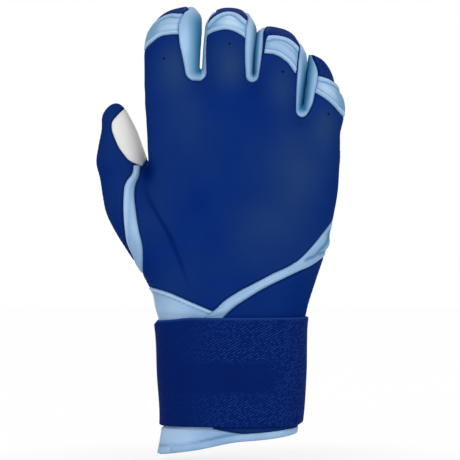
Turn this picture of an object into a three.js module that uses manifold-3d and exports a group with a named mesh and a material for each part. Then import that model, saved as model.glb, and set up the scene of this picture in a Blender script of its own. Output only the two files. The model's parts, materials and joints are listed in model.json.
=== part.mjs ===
// A batting glove for the right hand, with a long cuff and a wide wrist strap, shaped as if on a hand.
// Millimetres. +Z runs from the cuff to the fingers, the back of the hand faces -Y, the thumb is at -X.
import * as THREE from "three";
import { mergeVertices } from "three/addons/utils/BufferGeometryUtils.js";
import Module from "manifold-3d";

const wasm = await Module();
wasm.setup();

// Cloth and leather
const wall = 1.4; // every panel with its lining
const seam = 0.3; // parting between two panels, and between two layers

// Wrist and palm: outer sections from the hem to the webs of the fingers
const hem_height = 0; // the mouth in the middle of the glove
const hem_slant = 9; // degrees, lower at the thumb
const hem_band = 2.7;
const hem_thickness = 1;
const palm_sections = [
  { z: -16, left: -36.4, right: 27.6, back: -22.4, front: 22, side: 0 },
  { z: 8, left: -31.4, right: 30.9, back: -21.5, front: 21.5, side: 0 },
  { z: 55, left: -33.6, right: 33.5, back: -22.6, front: 22.6, side: 0 },
  { z: 63, left: -35.2, right: 35, back: -23, front: 23.4, side: 0 },
  { z: 76, left: -38, right: 39.4, back: -23.6, front: 25, side: -0.5 },
  { z: 92, left: -39, right: 45, back: -23.6, front: 25.5, side: -2 },
  { z: 107, left: -39, right: 47.8, back: -23.6, front: 24, side: -3.5 },
  { z: 122, left: -38.8, right: 50.3, back: -23.2, front: 20.5, side: -5.5 },
  { z: 136, left: -39, right: 51.2, back: -22.2, front: 16.5, side: -7.5 },
  { z: 146, left: -39.6, right: 47, back: -20.8, front: 13, side: -8 },
  { z: 152, left: -40, right: 33, back: -19, front: 11.5, side: -7 },
  { z: 162, left: -40, right: 28, back: -16, front: 9, side: -5 },
  { z: 168.5, left: -34, right: 18, back: -11, front: 5, side: -3.5 },
];
const palm_squareness = 2.5;

// Thumb: outer sections stacked up the thumb
const thumb_sections = [
  { z: 74, left: -37, right: -12, back: -16, front: 17, side: 2 },
  { z: 84, left: -45.2, right: -16, back: -15.5, front: 20, side: 3 },
  { z: 92, left: -50.6, right: -20, back: -14.5, front: 21.5, side: 4 },
  { z: 100, left: -55.4, right: -25, back: -13, front: 22.5, side: 5 },
  { z: 108, left: -59, right: -31, back: -11, front: 23, side: 6.5 },
  { z: 116, left: -60.6, right: -35, back: -8.8, front: 23.5, side: 8 },
  { z: 124, left: -61.9, right: -37.6, back: -6, front: 23.8, side: 9.5 },
  { z: 131.5, left: -63.8, right: -39.6, back: -3, front: 24, side: 11 },
  { z: 139, left: -63.2, right: -42.2, back: -0.5, front: 23, side: 12 },
  { z: 147, left: -61.6, right: -44.6, back: 2, front: 22, side: 12.4 },
  { z: 154.5, left: -60.2, right: -48.4, back: 5.2, front: 19.6, side: 12.4 },
  { z: 158.8, left: -57.8, right: -51.4, back: 9, front: 15.8, side: 12.4 },
];
const thumb_squareness = 2.1;
const thumb_bend_height = 134;
const thumb_edge = { low: -40.4, high: -45.6 }; // the end of the thumb lies left of this line

// Fingers, from the thumb side. crest is the highest point of the curled finger, tilt the slope of its knuckle.
const finger_row_start = -41.5;
const knuckle_height = 140; // where the fingers leave the back of the hand
const knuckle_y = -10.5;
const finger_lean = 12; // degrees from upright before the middle joint
const finger_root = 16; // length hidden in the hand below the knuckle
const bend_clearance = 1.5; // inside radius of the middle joint
const tip_bend_radius = 10.5;
const crease_half = 13; // degrees each side of the crease that stays open when a finger curls
const finger_margin = 0.3; // room beside a finger that its cuts take in
const fingers = {
  index: {
    width: 25.8, depth: 19, gap_after: 2, crest: 205.6, tilt: -12, tip_width: 17, tip_depth: 15,
    bent: 76, bent_tip: 130, middle_length: 16, end_length: 9, flex_height: 0, flex_to: 88,
    thumb_wall: 0, little_wall: 7.8,
  },
  middle: {
    width: 22.8, depth: 19, gap_after: 0.8, crest: 205.6, tilt: 2, tip_width: 16.5, tip_depth: 15,
    bent: 78, bent_tip: 130, middle_length: 18, end_length: 10, flex_height: 2.2, flex_to: 98,
    thumb_wall: 3.6, little_wall: 2.6,
  },
  ring: {
    width: 22.8, depth: 18.6, gap_after: 0.8, crest: 196.4, tilt: 14, tip_width: 16.5, tip_depth: 15,
    bent: 76, bent_tip: 130, middle_length: 16, end_length: 9, flex_height: 0, flex_to: 84,
    thumb_wall: 4.2, little_wall: 2.6,
  },
  little: {
    width: 18.6, depth: 16.4, gap_after: 0, crest: 180, tilt: 20, tip_width: 14, tip_depth: 13,
    bent: 58, bent_tip: 118, middle_length: 14, end_length: 8, flex_height: 0, flex_to: 76,
    thumb_wall: 5.4, little_wall: 0,
  },
};
const flex_slope = 28; // degrees: how far the back panel's edge falls away round the sides of a finger
const web_height = { index: 168.6, middle: 168, ring: 151.2 };
const web_opening = 15; // height over which a fourchette widens from its web
const wall_taper = 0.75; // width of a side wall at the fingertip, as a share of its width at the joint

// Panels that meet on the back of the glove, as heights above the mouth
const wrist_point = { x: -8.6, z: 62.5 }; // where the edges of the back panel meet above the strap
const wrist_seam_left = { x: -50, z: 77 };
const wrist_seam_right = [
  { x: 4.2, z: 69.8, half: 2.3 },
  { x: 18, z: 77, half: 2.3 },
  { x: 30.3, z: 82.8, half: 2.4 },
  { x: 38, z: 88.8, half: 3.8 },
  { x: 45, z: 95, half: 6 },
  { x: 54, z: 101, half: 6 },
]; // with half the width of the trim that covers it
const palm_seam_height = 62.5;
const palm_wrap = 1.2; // how far the palm's leather wraps on to the sides of the hand
const wrist_panel_foot = 7; // lower edge of the ulnar panel at its ends
const wrist_panel_drop = 2.2; // how far that edge sags in the middle
const trim_point_half = 2.3; // half the trim's width where it starts
const trim_thickness = 1.2;
const gusset_reach = 19; // from the end of the thumb inwards to where the back and palm of the hand are well apart
const gusset_line = [
  { x: -43.8, z: 132.5, half: 1.5 },
  { x: -45.4, z: 124, half: 2 },
  { x: -48, z: 117, half: 2.5 },
  { x: -47.8, z: 107, half: 3 },
  { x: -46.6, z: 97, half: 3.7 },
  { x: -44.8, z: 88, half: 3.7 },
  { x: -42.4, z: 72, half: 3 },
];
const thumb_leather_edge = [
  { x: -50.4, z: 174 },
  { x: -51, z: 159.4 },
  { x: -55.4, z: 154 },
  { x: -56.8, z: 149 },
  { x: -54.6, z: 140.8 },
  { x: -46.8, z: 131 },
];

// Strap: a band of wide elastic, and the free end that closes over it on the palm side
const strap_foot = 8.2;
const strap_width = 50.8;
const strap_thickness = 1.9;
const strap_anchor_x = -6; // where the band starts on the palm side
const strap_fold_x = -22; // where its free end leaves the wrist
const fold_length = 5;
const tab_end_x = 20;
const tab_inset = 1.6; // the free end is a little narrower than the band
const fastener_thickness = 0.8;
const fastener_inset = 6; // from the edges of the free end
const binding_length = 3.4;
const binding_lip = 0.9;

// Colours and finishes of the materials
const blue_leather = new THREE.MeshStandardMaterial({ color: 0x0f2c70, roughness: 0.55, metalness: 0 });
const white_leather = new THREE.MeshStandardMaterial({ color: 0xdedede, roughness: 0.6, metalness: 0 });
const stretch_cloth = new THREE.MeshStandardMaterial({ color: 0x8eb1d5, roughness: 0.8, metalness: 0 });
const elastic_webbing = new THREE.MeshStandardMaterial({ color: 0x0e2868, roughness: 0.75, metalness: 0 });
const hook_and_loop = new THREE.MeshStandardMaterial({ color: 0x14223f, roughness: 0.95, metalness: 0 });

const finger_ring_points = 12;
const bend_steps = 4;
const tip_bend_steps = 3;
const thumb_ring_points = 14;
const palm_ring_points = 26;
const far = 90; // past every edge of the glove
const radians = Math.PI / 180;

function solidFrom(geometry) {
  const bare = new THREE.BufferGeometry();
  bare.setAttribute("position", geometry.getAttribute("position"));
  bare.setIndex(geometry.getIndex());
  const merged = mergeVertices(bare, 1e-4);
  const mesh = new wasm.Mesh({
    numProp: 3,
    vertProperties: new Float32Array(merged.getAttribute("position").array),
    triVerts: new Uint32Array(merged.getIndex().array),
  });
  return new wasm.Manifold(mesh);
}

function geometryFrom(solid) {
  const mesh = solid.getMesh();
  const indexed = new THREE.BufferGeometry();
  indexed.setAttribute("position", new THREE.BufferAttribute(new Float32Array(mesh.vertProperties), 3));
  indexed.setIndex(new THREE.BufferAttribute(new Uint32Array(mesh.triVerts), 1));
  const geometry = indexed.toNonIndexed();
  geometry.computeVertexNormals();
  return geometry;
}

function joined(solids) {
  return solids.reduce((all, next) => all.add(next));
}

// Rings of points joined into a closed skin, each ring turning left about the way from first to last.
function loft(rings) {
  const count = rings[0].length;
  const points = rings.flat();
  const last = (rings.length - 1) * count;
  const middle = (ring) => ring.reduce((sum, p) => sum.add(p), new THREE.Vector3()).divideScalar(count);
  points.push(middle(rings[0]), middle(rings.at(-1)));
  const index = [];
  for (let r = 0; r < rings.length - 1; r += 1) {
    for (let k = 0; k < count; k += 1) {
      const a = r * count + k;
      const b = r * count + ((k + 1) % count);
      index.push(a, b, b + count, a, b + count, a + count);
    }
  }
  for (let k = 0; k < count; k += 1) {
    const next = (k + 1) % count;
    index.push(points.length - 2, next, k);
    index.push(points.length - 1, last + k, last + next);
  }
  const geometry = new THREE.BufferGeometry().setFromPoints(points);
  geometry.setIndex(index);
  return solidFrom(geometry);
}

// One ring around a place: half a width to each side, one depth to the back and one to the front.
function ring({ place, side, front, half_width, back_depth, front_depth, squareness, count }) {
  const points = [];
  for (let k = 0; k < count; k += 1) {
    const turn = (2 * Math.PI * k) / count;
    const bent = (v) => Math.sign(v) * Math.abs(v) ** (2 / squareness);
    const depth = Math.sin(turn) > 0 ? front_depth : back_depth;
    const point = place.clone();
    point.addScaledVector(side, half_width * bent(Math.cos(turn)));
    point.addScaledVector(front, depth * bent(Math.sin(turn)));
    points.push(point);
  }
  return points;
}

// A stack of level sections, grown on all sides by an offset.
function stack(sections, offset, squareness, count) {
  const x_axis = new THREE.Vector3(1, 0, 0);
  const y_axis = new THREE.Vector3(0, 1, 0);
  const rings = sections.map((s, k) => {
    const top = k === sections.length - 1 ? offset : 0;
    return ring({
      place: new THREE.Vector3((s.left + s.right) / 2, s.side, s.z + top),
      side: x_axis,
      front: y_axis,
      half_width: (s.right - s.left) / 2 + offset,
      back_depth: s.side - s.back + offset,
      front_depth: s.front - s.side + offset,
      squareness,
      count,
    });
  });
  return loft(rings);
}

const palm = (offset) => stack(palm_sections, offset, palm_squareness, palm_ring_points);
const thumb = (offset) => stack(thumb_sections, offset, thumb_squareness, thumb_ring_points);

// Places of the fingers along the row, from their widths and the gaps between them
let row_edge = finger_row_start;
for (const finger of Object.values(fingers)) {
  finger.x = row_edge + finger.width / 2;
  row_edge += finger.width + finger.gap_after;
  finger.side = new THREE.Vector3(Math.cos(finger.tilt * radians), 0, -Math.sin(finger.tilt * radians));
}

// A finger narrows from its knuckle to its tip.
const widthAt = (finger, share) => finger.width + (finger.tip_width - finger.width) * share;
const depthAt = (finger, share) => finger.depth + (finger.tip_depth - finger.depth) * share;

// The middle line of a finger in its own plane: y to the palm, z up, lean from upright, and its section sizes.
function fingerLine(finger) {
  const line = [];
  let y = 0;
  let z = 0;
  let lean = finger_lean;
  const put = (share, fullness) => line.push({ y, z, lean, share, fullness });
  const straight = (length) => {
    y += length * Math.sin(lean * radians);
    z += length * Math.cos(lean * radians);
  };
  const bend = (radius, to, steps, share_from, share_to) => {
    const step = (to - lean) / steps;
    for (let k = 1; k <= steps; k += 1) {
      const chord = 2 * radius * Math.sin((step * radians) / 2);
      const heading = (lean + step / 2) * radians;
      y += chord * Math.sin(heading);
      z += chord * Math.cos(heading);
      lean += step;
      put(share_from + ((share_to - share_from) * k) / steps, 1);
    }
  };
  put(0, 1);
  bend(finger.depth / 2 + bend_clearance, finger.bent, bend_steps, 0, 0.1);
  straight(finger.middle_length);
  put(0.5, 1);
  bend(tip_bend_radius, finger.bent_tip, tip_bend_steps, 0.5, 0.75);
  straight(finger.end_length);
  put(1, 1);
  finger.cap = finger.tip_depth / 2;
  for (const turn of [42, 78]) {
    const along = finger.cap * Math.sin(turn * radians);
    line.push({
      y: y + along * Math.sin(lean * radians),
      z: z + along * Math.cos(lean * radians),
      lean,
      share: 1,
      fullness: Math.cos(turn * radians),
    });
  }
  // The whole finger is placed so that its highest outer point is its crest and its root meets the hand.
  const outer = line.map((s) => s.z + (depthAt(finger, s.share) / 2) * Math.sin(s.lean * radians));
  const lift = finger.crest - Math.max(...outer);
  const push = knuckle_y + (lift - knuckle_height) * Math.tan(finger_lean * radians);
  for (const s of line) {
    s.y += push;
    s.z += lift;
  }
  return line;
}

function fingerSolid(finger, offset) {
  const root_drop = finger.line[0].z - knuckle_height + finger_root;
  const lean_slope = Math.tan(finger_lean * radians);
  const first = finger.line[0];
  const roots = [
    { y: first.y - root_drop * lean_slope + 3, z: first.z - root_drop, lean: 0, share: 0, fullness: 0.62 },
    {
      y: first.y - (root_drop - finger_root) * lean_slope,
      z: first.z - root_drop + finger_root,
      lean: finger_lean / 2,
      share: 0,
      fullness: 0.97,
    },
  ];
  const stations = roots.concat(finger.line);
  const rings = stations.map((s) => {
    const width = widthAt(finger, s.share);
    const depth = depthAt(finger, s.share);
    const pull = s === stations.at(-1) ? offset : 0;
    const lean = s.lean * radians;
    return ring({
      place: new THREE.Vector3(finger.x, s.y + pull * Math.sin(lean), s.z + pull * Math.cos(lean)),
      side: finger.side,
      front: new THREE.Vector3(0, Math.cos(lean), -Math.sin(lean)),
      half_width: Math.max((width / 2) * s.fullness + offset, 0.3),
      back_depth: Math.max((depth / 2) * s.fullness + offset, 0.3),
      front_depth: Math.max((depth / 2) * s.fullness + offset, 0.3),
      squareness: 2.3,
      count: finger_ring_points,
    });
  });
  return loft(rings);
}

// The middle joint of each finger lies half way round its bend.
for (const finger of Object.values(fingers)) {
  finger.line = fingerLine(finger);
  const half_way = finger.line[bend_steps / 2];
  finger.joint = new THREE.Vector3(finger.x, half_way.y, half_way.z);
  finger.crease = 180 + (finger_lean + finger.bent) / 2;
}

// An outline drawn on a plane and drawn out to both sides of it.
function prism(outline, basis, origin, from, to) {
  const shape = new THREE.Shape(outline.map(([u, v]) => new THREE.Vector2(u, v)));
  const geometry = new THREE.ExtrudeGeometry(shape, { depth: to - from, bevelEnabled: false });
  geometry.translate(0, 0, from);
  geometry.applyMatrix4(new THREE.Matrix4().makeBasis(...basis).setPosition(origin));
  return solidFrom(geometry);
}

// Outlines on the back of the glove (x, z), drawn out through its depth from one y to another
function frontPrism(outline, from = -far, to = far) {
  const basis = [new THREE.Vector3(1, 0, 0), new THREE.Vector3(0, 0, 1), new THREE.Vector3(0, -1, 0)];
  return prism(outline, basis, new THREE.Vector3(), -to, -from);
}

// Outlines seen from the side (y, z), drawn out across the glove
function sidePrism(outline) {
  const basis = [new THREE.Vector3(0, 1, 0), new THREE.Vector3(0, 0, 1), new THREE.Vector3(1, 0, 0)];
  return prism(outline, basis, new THREE.Vector3(), -far, far);
}

// Outlines of the wrist (x, y), drawn out from one height to another
function levelPrism(outline, from, to) {
  const basis = [new THREE.Vector3(1, 0, 0), new THREE.Vector3(0, 1, 0), new THREE.Vector3(0, 0, 1)];
  return prism(outline, basis, new THREE.Vector3(), from, to);
}

// Outlines in the plane of a finger (u to the front, v up) about its joint, drawn out along the joint's line
function fingerPrism(finger, outline, from, to) {
  const basis = [new THREE.Vector3(0, -1, 0), new THREE.Vector3(0, 0, 1), finger.side.clone().negate()];
  return prism(outline, basis, finger.joint, -to, -from);
}

// Outlines on the top of a curled finger (along its joint's line, and away from the joint to the palm side)
function fingerTopPrism(finger, outline) {
  const basis = [finger.side, new THREE.Vector3(0, 1, 0), new THREE.Vector3(0, 0, 1)];
  return prism(outline, basis, finger.joint, -far, far);
}

function sector(from, to) {
  const outline = [[0, 0]];
  const steps = Math.ceil((to - from) / 30);
  for (let k = 0; k <= steps; k += 1) {
    const turn = (from + ((to - from) * k) / steps) * radians;
    outline.push([far * Math.cos(turn), far * Math.sin(turn)]);
  }
  return outline;
}

// A strip along a line of places with half widths, made wider by grow on both edges
function strip(line, grow) {
  const right = [];
  const left = [];
  line.forEach((p, k) => {
    const before = line[Math.max(k - 1, 0)];
    const after = line[Math.min(k + 1, line.length - 1)];
    const length = Math.hypot(after.x - before.x, after.z - before.z);
    const across = { x: (after.z - before.z) / length, z: -(after.x - before.x) / length };
    const half = p.half + grow;
    right.push([p.x + across.x * half, p.z + across.z * half]);
    left.unshift([p.x - across.x * half, p.z - across.z * half]);
  });
  return right.concat(left);
}

const outside = joined([palm(0), thumb(0), ...Object.values(fingers).map((f) => fingerSolid(f, 0))]);
const inside = joined([palm(-wall), thumb(-wall), ...Object.values(fingers).map((f) => fingerSolid(f, -wall))]);
const hem_rise = Math.tan(hem_slant * radians);
const hemOutline = (lift) => [
  [-far, -far],
  [far, -far],
  [far, hem_height + lift + far * hem_rise],
  [-far, hem_height + lift - far * hem_rise],
];
const mouth = frontPrism(hemOutline(0));
const shell = outside.subtract(inside).subtract(mouth);

const pieces = [];
function piece(name, solid, material) {
  pieces.push({ name, solid, material });
}

// Finger ends: each is parted from the hand by its knuckle panel on the back and by its crease on the palm side.
let hand = shell;
for (const [name, finger] of Object.entries(fingers)) {
  const half = finger.width / 2 + finger_margin;
  const tip_sector = sector(finger.flex_to, finger.crease - crease_half);
  const tip = shell.intersect(fingerPrism(finger, tip_sector, -half, half));

  // The back panel's edge: level across the finger's back at flex_height, falling away round its sides
  const fall = Math.tan(flex_slope * radians);
  const edge = (u, lift) => finger.flex_height + lift + (u - finger.depth / 2) * fall;
  const parting = seam / (finger.depth / 2) / radians;
  const over = (finger.flex_to - parting) * radians;
  const knuckle = [
    [seam, edge(seam, seam)],
    [far, edge(far, seam)],
    [far * Math.cos(over), far * Math.sin(over)],
    [seam, seam * Math.tan(over)],
  ];
  piece(`${name}_flex_panel`, shell.intersect(fingerPrism(finger, knuckle, -half, half)), stretch_cloth);

  const upper = [[0, edge(0, 0)], [far, edge(far, 0)], [far, far], [-far, far], [-far, 0], [0, 0]];
  const lower = sector(170, finger.crease + crease_half);
  hand = hand.subtract(fingerPrism(finger, upper, -half, half));
  hand = hand.subtract(fingerPrism(finger, lower, -half, half));

  // The end is sewn from a back, a leather front and a side wall towards each neighbour.
  const line = finger.line.slice(bend_steps / 2).map((s) => [finger.joint.y - s.y, s.z - finger.joint.z]);
  const end = line.at(-1);
  line.push([end[0] - far * 0.5, end[1] - far * 0.5]);
  const back_outline = (drop) => line.map(([u, v]) => [u, v - drop]).concat([[-far, far], [far, far], [far, -drop]]);
  const back_region = fingerPrism(finger, back_outline(0), -far, far);
  const not_front = fingerPrism(finger, back_outline(seam), -far, far);
  let cover = tip;
  const reach = -end[0];
  const walls = [
    { wall_name: "radial", size: finger.thumb_wall, way: -1 },
    { wall_name: "ulnar", size: finger.little_wall, way: 1 },
  ];
  for (const { wall_name, size, way } of walls) {
    if (size > 0) {
      const at_joint = finger.width / 2 - size;
      const at_end = finger.tip_width / 2 - size * wall_taper;
      const outline = (grow) => [
        [(at_joint - grow) * way, -far],
        [(at_joint - grow) * way, 0],
        [(at_end - grow) * way, reach],
        [(at_end - grow) * way, far],
        [far * way, far],
        [far * way, -far],
      ];
      piece(`${name}_tip_${wall_name}_wall`, tip.intersect(fingerTopPrism(finger, outline(0))), stretch_cloth);
      cover = cover.subtract(fingerTopPrism(finger, outline(seam)));
    }
  }
  piece(`${name}_tip_back`, cover.intersect(back_region), blue_leather);
  piece(`${name}_tip_front`, cover.subtract(not_front), white_leather);
}

// Thumb end: leather wraps the pad and its side towards the hand, blue covers the rest.
const thumb_top = thumb_sections.at(-1).z + wall;
const thumbRegion = (grow) => frontPrism([
  [-far, thumb_bend_height - grow],
  [thumb_edge.low, thumb_bend_height - grow],
  [thumb_edge.high, thumb_top],
  [-far, thumb_top],
]);
const thumb_tip = shell.intersect(thumbRegion(0));
hand = hand.subtract(thumbRegion(seam));
const leather_outline = (grow) => thumb_leather_edge
  .map((p) => [p.x - grow, p.z])
  .concat([[0, thumb_leather_edge.at(-1).z], [0, thumb_leather_edge[0].z]]);
piece("thumb_tip_front", thumb_tip.intersect(frontPrism(leather_outline(0))), white_leather);
piece("thumb_tip_back", thumb_tip.subtract(frontPrism(leather_outline(seam))), blue_leather);

// Fourchettes: stretch cloth between neighbouring fingers, rounded at the web and open towards the knuckles
const names = Object.keys(fingers);
for (let k = 0; k < names.length - 1; k += 1) {
  const left = fingers[names[k]];
  const right = fingers[names[k + 1]];
  const middle = left.x + left.width / 2 + left.gap_after / 2;
  const to_left = left.little_wall + left.gap_after / 2;
  const to_right = right.thumb_wall + left.gap_after / 2;
  const foot = web_height[names[k]] - 1;
  const tongue = (grow) => [
    [middle - to_left - grow, far * 3],
    [middle - to_left - grow, foot + web_opening],
    [middle - to_left * 0.62 - grow, foot + web_opening * 0.3],
    [middle - to_left * 0.3 - grow * 0.7, foot - grow * 0.7],
    [middle + to_right * 0.3 + grow * 0.7, foot - grow * 0.7],
    [middle + to_right * 0.62 + grow, foot + web_opening * 0.3],
    [middle + to_right + grow, foot + web_opening],
    [middle + to_right + grow, far * 3],
  ];
  piece(`${names[k]}_${names[k + 1]}_fourchette`, hand.intersect(frontPrism(tongue(0))), stretch_cloth);
  hand = hand.subtract(frontPrism(tongue(seam)));
}

// Cuff: stretch cloth below the back panel and the palm, all round the wrist down to the hem
const seam_right = wrist_seam_right.map((p) => [p.x, p.z]);
const belowOutline = (lift) => [
  [-far, -far],
  [far, -far],
  [far, seam_right.at(-1)[1] + lift],
  ...seam_right.map(([x, z]) => [x, z + lift]).reverse(),
  [wrist_point.x, wrist_point.z + lift],
  [wrist_seam_left.x, wrist_seam_left.z + lift],
  [-far, wrist_seam_left.z + lift],
];
const palmOutline = (lift) => [
  [-far, -far],
  [far, -far],
  [far, palm_seam_height + lift],
  [-far, palm_seam_height + lift],
];
const below = (lift) => frontPrism(belowOutline(lift), -far, 0).add(frontPrism(palmOutline(lift), -0.01, far));
const wrist = hand.intersect(below(-seam));
hand = hand.subtract(below(0));

const panel_span = palm_sections[1].right - wrist_point.x;
const panelFoot = (share) => wrist_panel_foot - wrist_panel_drop * Math.sin(Math.PI * share);
const panelOutline = (grow) => [
  [wrist_point.x - grow, far],
  [wrist_point.x - grow, wrist_panel_foot - grow],
  ...[0.25, 0.5, 0.75].map((share) => [wrist_point.x + panel_span * share, panelFoot(share) - grow]),
  [far, wrist_panel_foot - grow],
  [far, far * 2],
  [wrist_point.x - grow, far * 2],
];
piece("ulnar_wrist_panel", wrist.intersect(frontPrism(panelOutline(0), -far, -seam)), blue_leather);
piece("cuff", wrist.subtract(frontPrism(panelOutline(seam), -far, 0)), stretch_cloth);

// Hem: a turned band round the mouth that ends below the strap
const layer = (from, thickness) => palm(from + thickness).subtract(palm(from));
const box = (x0, x1, y0, y1, z0, z1) => levelPrism([[x0, y0], [x1, y0], [x1, y1], [x0, y1]], z0, z1);
const hem_place = frontPrism(hemOutline(hem_band)).intersect(box(-far, far, -far, far, -far, strap_foot - seam));
piece("cuff_hem", layer(seam, hem_thickness).subtract(mouth).intersect(hem_place), stretch_cloth);

// Thumb gusset and the blue back of the thumb's base
const thumb_split = thumb_sections.map((s) => [s.side, s.z]);
const backOfThumb = (push) => sidePrism([
  [-far, -far],
  [thumb_split[0][0] + push, -far],
  ...thumb_split.map(([y, z]) => [y + push, z]),
  [thumb_split.at(-1)[0] + push, far * 2],
  [-far, far * 2],
]);
piece("thumb_gusset", hand.intersect(frontPrism(strip(gusset_line, 0))).intersect(backOfThumb(0)), stretch_cloth);
hand = hand.subtract(frontPrism(strip(gusset_line, seam)).intersect(backOfThumb(seam)));
const thumb_base = (grow) => frontPrism([
  [-far, palm_seam_height],
  ...gusset_line.map((p) => [p.x, p.z]).reverse(),
  [thumb_leather_edge.at(-1).x + grow, thumb_leather_edge.at(-1).z + grow],
  [thumb_leather_edge.at(-1).x - 3 + grow, thumb_bend_height + 1],
  [-far, thumb_bend_height + 1],
]);
piece("thumb_back", hand.intersect(thumb_base(0)).intersect(backOfThumb(0)), blue_leather);
hand = hand.subtract(thumb_base(seam).intersect(backOfThumb(seam)));

// Back panel and palm: parted along the sides of the hand
const side_line = palm_sections.slice(0, -3).map((s) => [s.side - palm_wrap, s.z]);
const backOfHand = (push) => sidePrism([
  [-far, -far],
  [side_line[0][0] + push, -far],
  ...side_line.map(([y, z]) => [y + push, z]),
  [fingers.index.joint.y - palm_wrap + push, fingers.index.joint.z],
  [fingers.index.joint.y - palm_wrap + push, far * 3],
  [-far, far * 3],
]);
// Beside the gusset the back panel reaches in as far as the thumb's own back does.
const gusset_top = gusset_line[0];
const besideGusset = (grow) => frontPrism([
  [-far, 0],
  [thumb_sections.at(-1).right + gusset_reach, 0],
  [thumb_sections.at(-1).right + gusset_reach, gusset_top.z - 2 + grow],
  [-far, gusset_top.z - 2 + grow],
]);
const backRegion = (grow) => backOfHand(grow).add(besideGusset(grow).intersect(backOfThumb(grow)));
piece("back_panel", hand.intersect(backRegion(0)), blue_leather);
piece("palm_panel", hand.subtract(backRegion(seam)), white_leather);

// Trim: a folded strip of stretch cloth laid over the seam between the back panel and the ulnar panel
const trim_line = [{ ...wrist_point, half: trim_point_half }, ...wrist_seam_right];
const trim_layer = layer(seam, trim_thickness).intersect(backOfHand(-seam));
const strap_top = strap_foot + strap_width;
const above_strap = box(-far, far, -far, far, strap_top + seam, far * 3);
piece("wrist_trim", trim_layer.intersect(frontPrism(strip(trim_line, 0))).intersect(above_strap), stretch_cloth);

// Strap band: from its sewn start on the palm side round the little finger's side, the back and the thumb's side
const band_height = box(-far, far, -far, far, strap_foot, strap_top);
const band_gap = box(strap_fold_x, strap_anchor_x, 0, far, -far, far);
const band_out = seam + strap_thickness;
piece("strap_band", layer(seam, strap_thickness).intersect(band_height).subtract(band_gap), elastic_webbing);

const tab_foot = strap_foot + tab_inset;
const tab_top = strap_top - tab_inset;
const loop_out = band_out + seam;
const hook_out = loop_out + fastener_thickness + seam;
const tab_out = hook_out + fastener_thickness + seam;
const loop_from = strap_anchor_x + 2;
const fastener_foot = tab_foot + fastener_inset;
const fastener_top = tab_top - fastener_inset;
const loop_place = box(loop_from, tab_end_x + 2, 0, far, fastener_foot, fastener_top);
piece("strap_loop_patch", layer(loop_out, fastener_thickness).intersect(loop_place), hook_and_loop);
const hook_place = box(loop_from + 2, tab_end_x - 2, 0, far, fastener_foot, fastener_top);
piece("strap_hook_patch", layer(hook_out, fastener_thickness).intersect(hook_place), hook_and_loop);

const fold_from = strap_fold_x - fold_length;
const tab_sheet = layer(tab_out, strap_thickness).intersect(box(fold_from, tab_end_x, 0, far, tab_foot, tab_top));
const fold = layer(loop_out, tab_out - loop_out + strap_thickness)
  .intersect(box(fold_from, strap_fold_x, 0, far, tab_foot, tab_top));
piece("strap_tab", tab_sheet.add(fold), elastic_webbing);
const binding_place = box(tab_end_x + seam, tab_end_x + seam + binding_length, 0, far, tab_foot, tab_top);
piece(
  "strap_end_binding",
  layer(tab_out - binding_lip, strap_thickness + 2 * binding_lip).intersect(binding_place),
  blue_leather,
);

const glove = new THREE.Group();
glove.name = "batting_glove";
for (const { name, solid, material } of pieces) {
  const mesh = new THREE.Mesh(geometryFrom(solid), material);
  mesh.name = name;
  glove.add(mesh);
}

export default glove;
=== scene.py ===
import json
import math

import bpy
import numpy as np
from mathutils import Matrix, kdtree


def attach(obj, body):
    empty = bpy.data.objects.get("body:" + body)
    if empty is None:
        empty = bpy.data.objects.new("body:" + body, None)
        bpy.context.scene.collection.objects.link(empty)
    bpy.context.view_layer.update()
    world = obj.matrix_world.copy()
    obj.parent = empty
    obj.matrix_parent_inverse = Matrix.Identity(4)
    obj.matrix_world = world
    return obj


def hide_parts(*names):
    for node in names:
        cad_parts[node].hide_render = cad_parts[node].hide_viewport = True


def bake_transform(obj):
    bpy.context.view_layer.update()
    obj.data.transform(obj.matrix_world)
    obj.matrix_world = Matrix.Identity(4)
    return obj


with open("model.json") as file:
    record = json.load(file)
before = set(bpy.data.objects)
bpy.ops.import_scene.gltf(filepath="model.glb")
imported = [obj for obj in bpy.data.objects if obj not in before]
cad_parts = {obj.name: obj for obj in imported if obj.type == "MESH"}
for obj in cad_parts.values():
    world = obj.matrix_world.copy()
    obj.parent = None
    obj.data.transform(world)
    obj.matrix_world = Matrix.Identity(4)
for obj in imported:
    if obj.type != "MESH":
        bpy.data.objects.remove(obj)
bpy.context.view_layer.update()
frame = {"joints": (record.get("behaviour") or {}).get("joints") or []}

# The filled form: the glove stands as if on a right hand, so its skin is one smooth shape of a palm,
# a thumb and four curled fingers. Leather and cloth are cut to their patterns on this skin further on.
# All sizes are millimetres, and a piece goes to metres when its mesh is made.
palm_heights = np.array([-16, 8, 32, 55, 63, 76, 92, 107, 122, 136, 146, 152, 162, 168.5])
palm_left = np.array([-36, -31.8, -32.9, -34.2, -35.7, -37.6, -39, -39.1, -40, -38, -37.8, -38, -38.5, -34])
palm_right = np.array([25.8, 31.2, 33.1, 34, 35.4, 39.4, 44.6, 47.7, 49.9, 49.7, 46.4, 33, 28, 18])
palm_back = np.array([-21.6, -21.5, -22, -22.6, -23, -23.6, -23.6, -23.6, -23.2, -22.2, -20.8, -19, -16, -11])
palm_front = np.array([21.6, 21.5, 22, 22.6, 23.4, 25, 25.5, 24, 20.5, 16.5, 13, 11.5, 9, 5])
palm_side = np.array([0, 0, 0, 0, 0, -0.5, -2, -3.5, -5.5, -7.5, -8, -7, -5, -3.5])
palm_square = 2.5
thumb_heights = np.array([74, 84, 92, 100, 108, 116, 124, 131.5, 139, 147, 154.5, 158.8])
thumb_left = np.array([-37, -44.8, -50.2, -55.1, -58.9, -60.6, -61.9, -63.7, -62.8, -61.3, -60.6, -57.8])
thumb_right = np.array([-12, -16, -20, -25, -31, -35, -37.6, -39.6, -42.2, -45.2, -49.1, -51.8])
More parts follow.
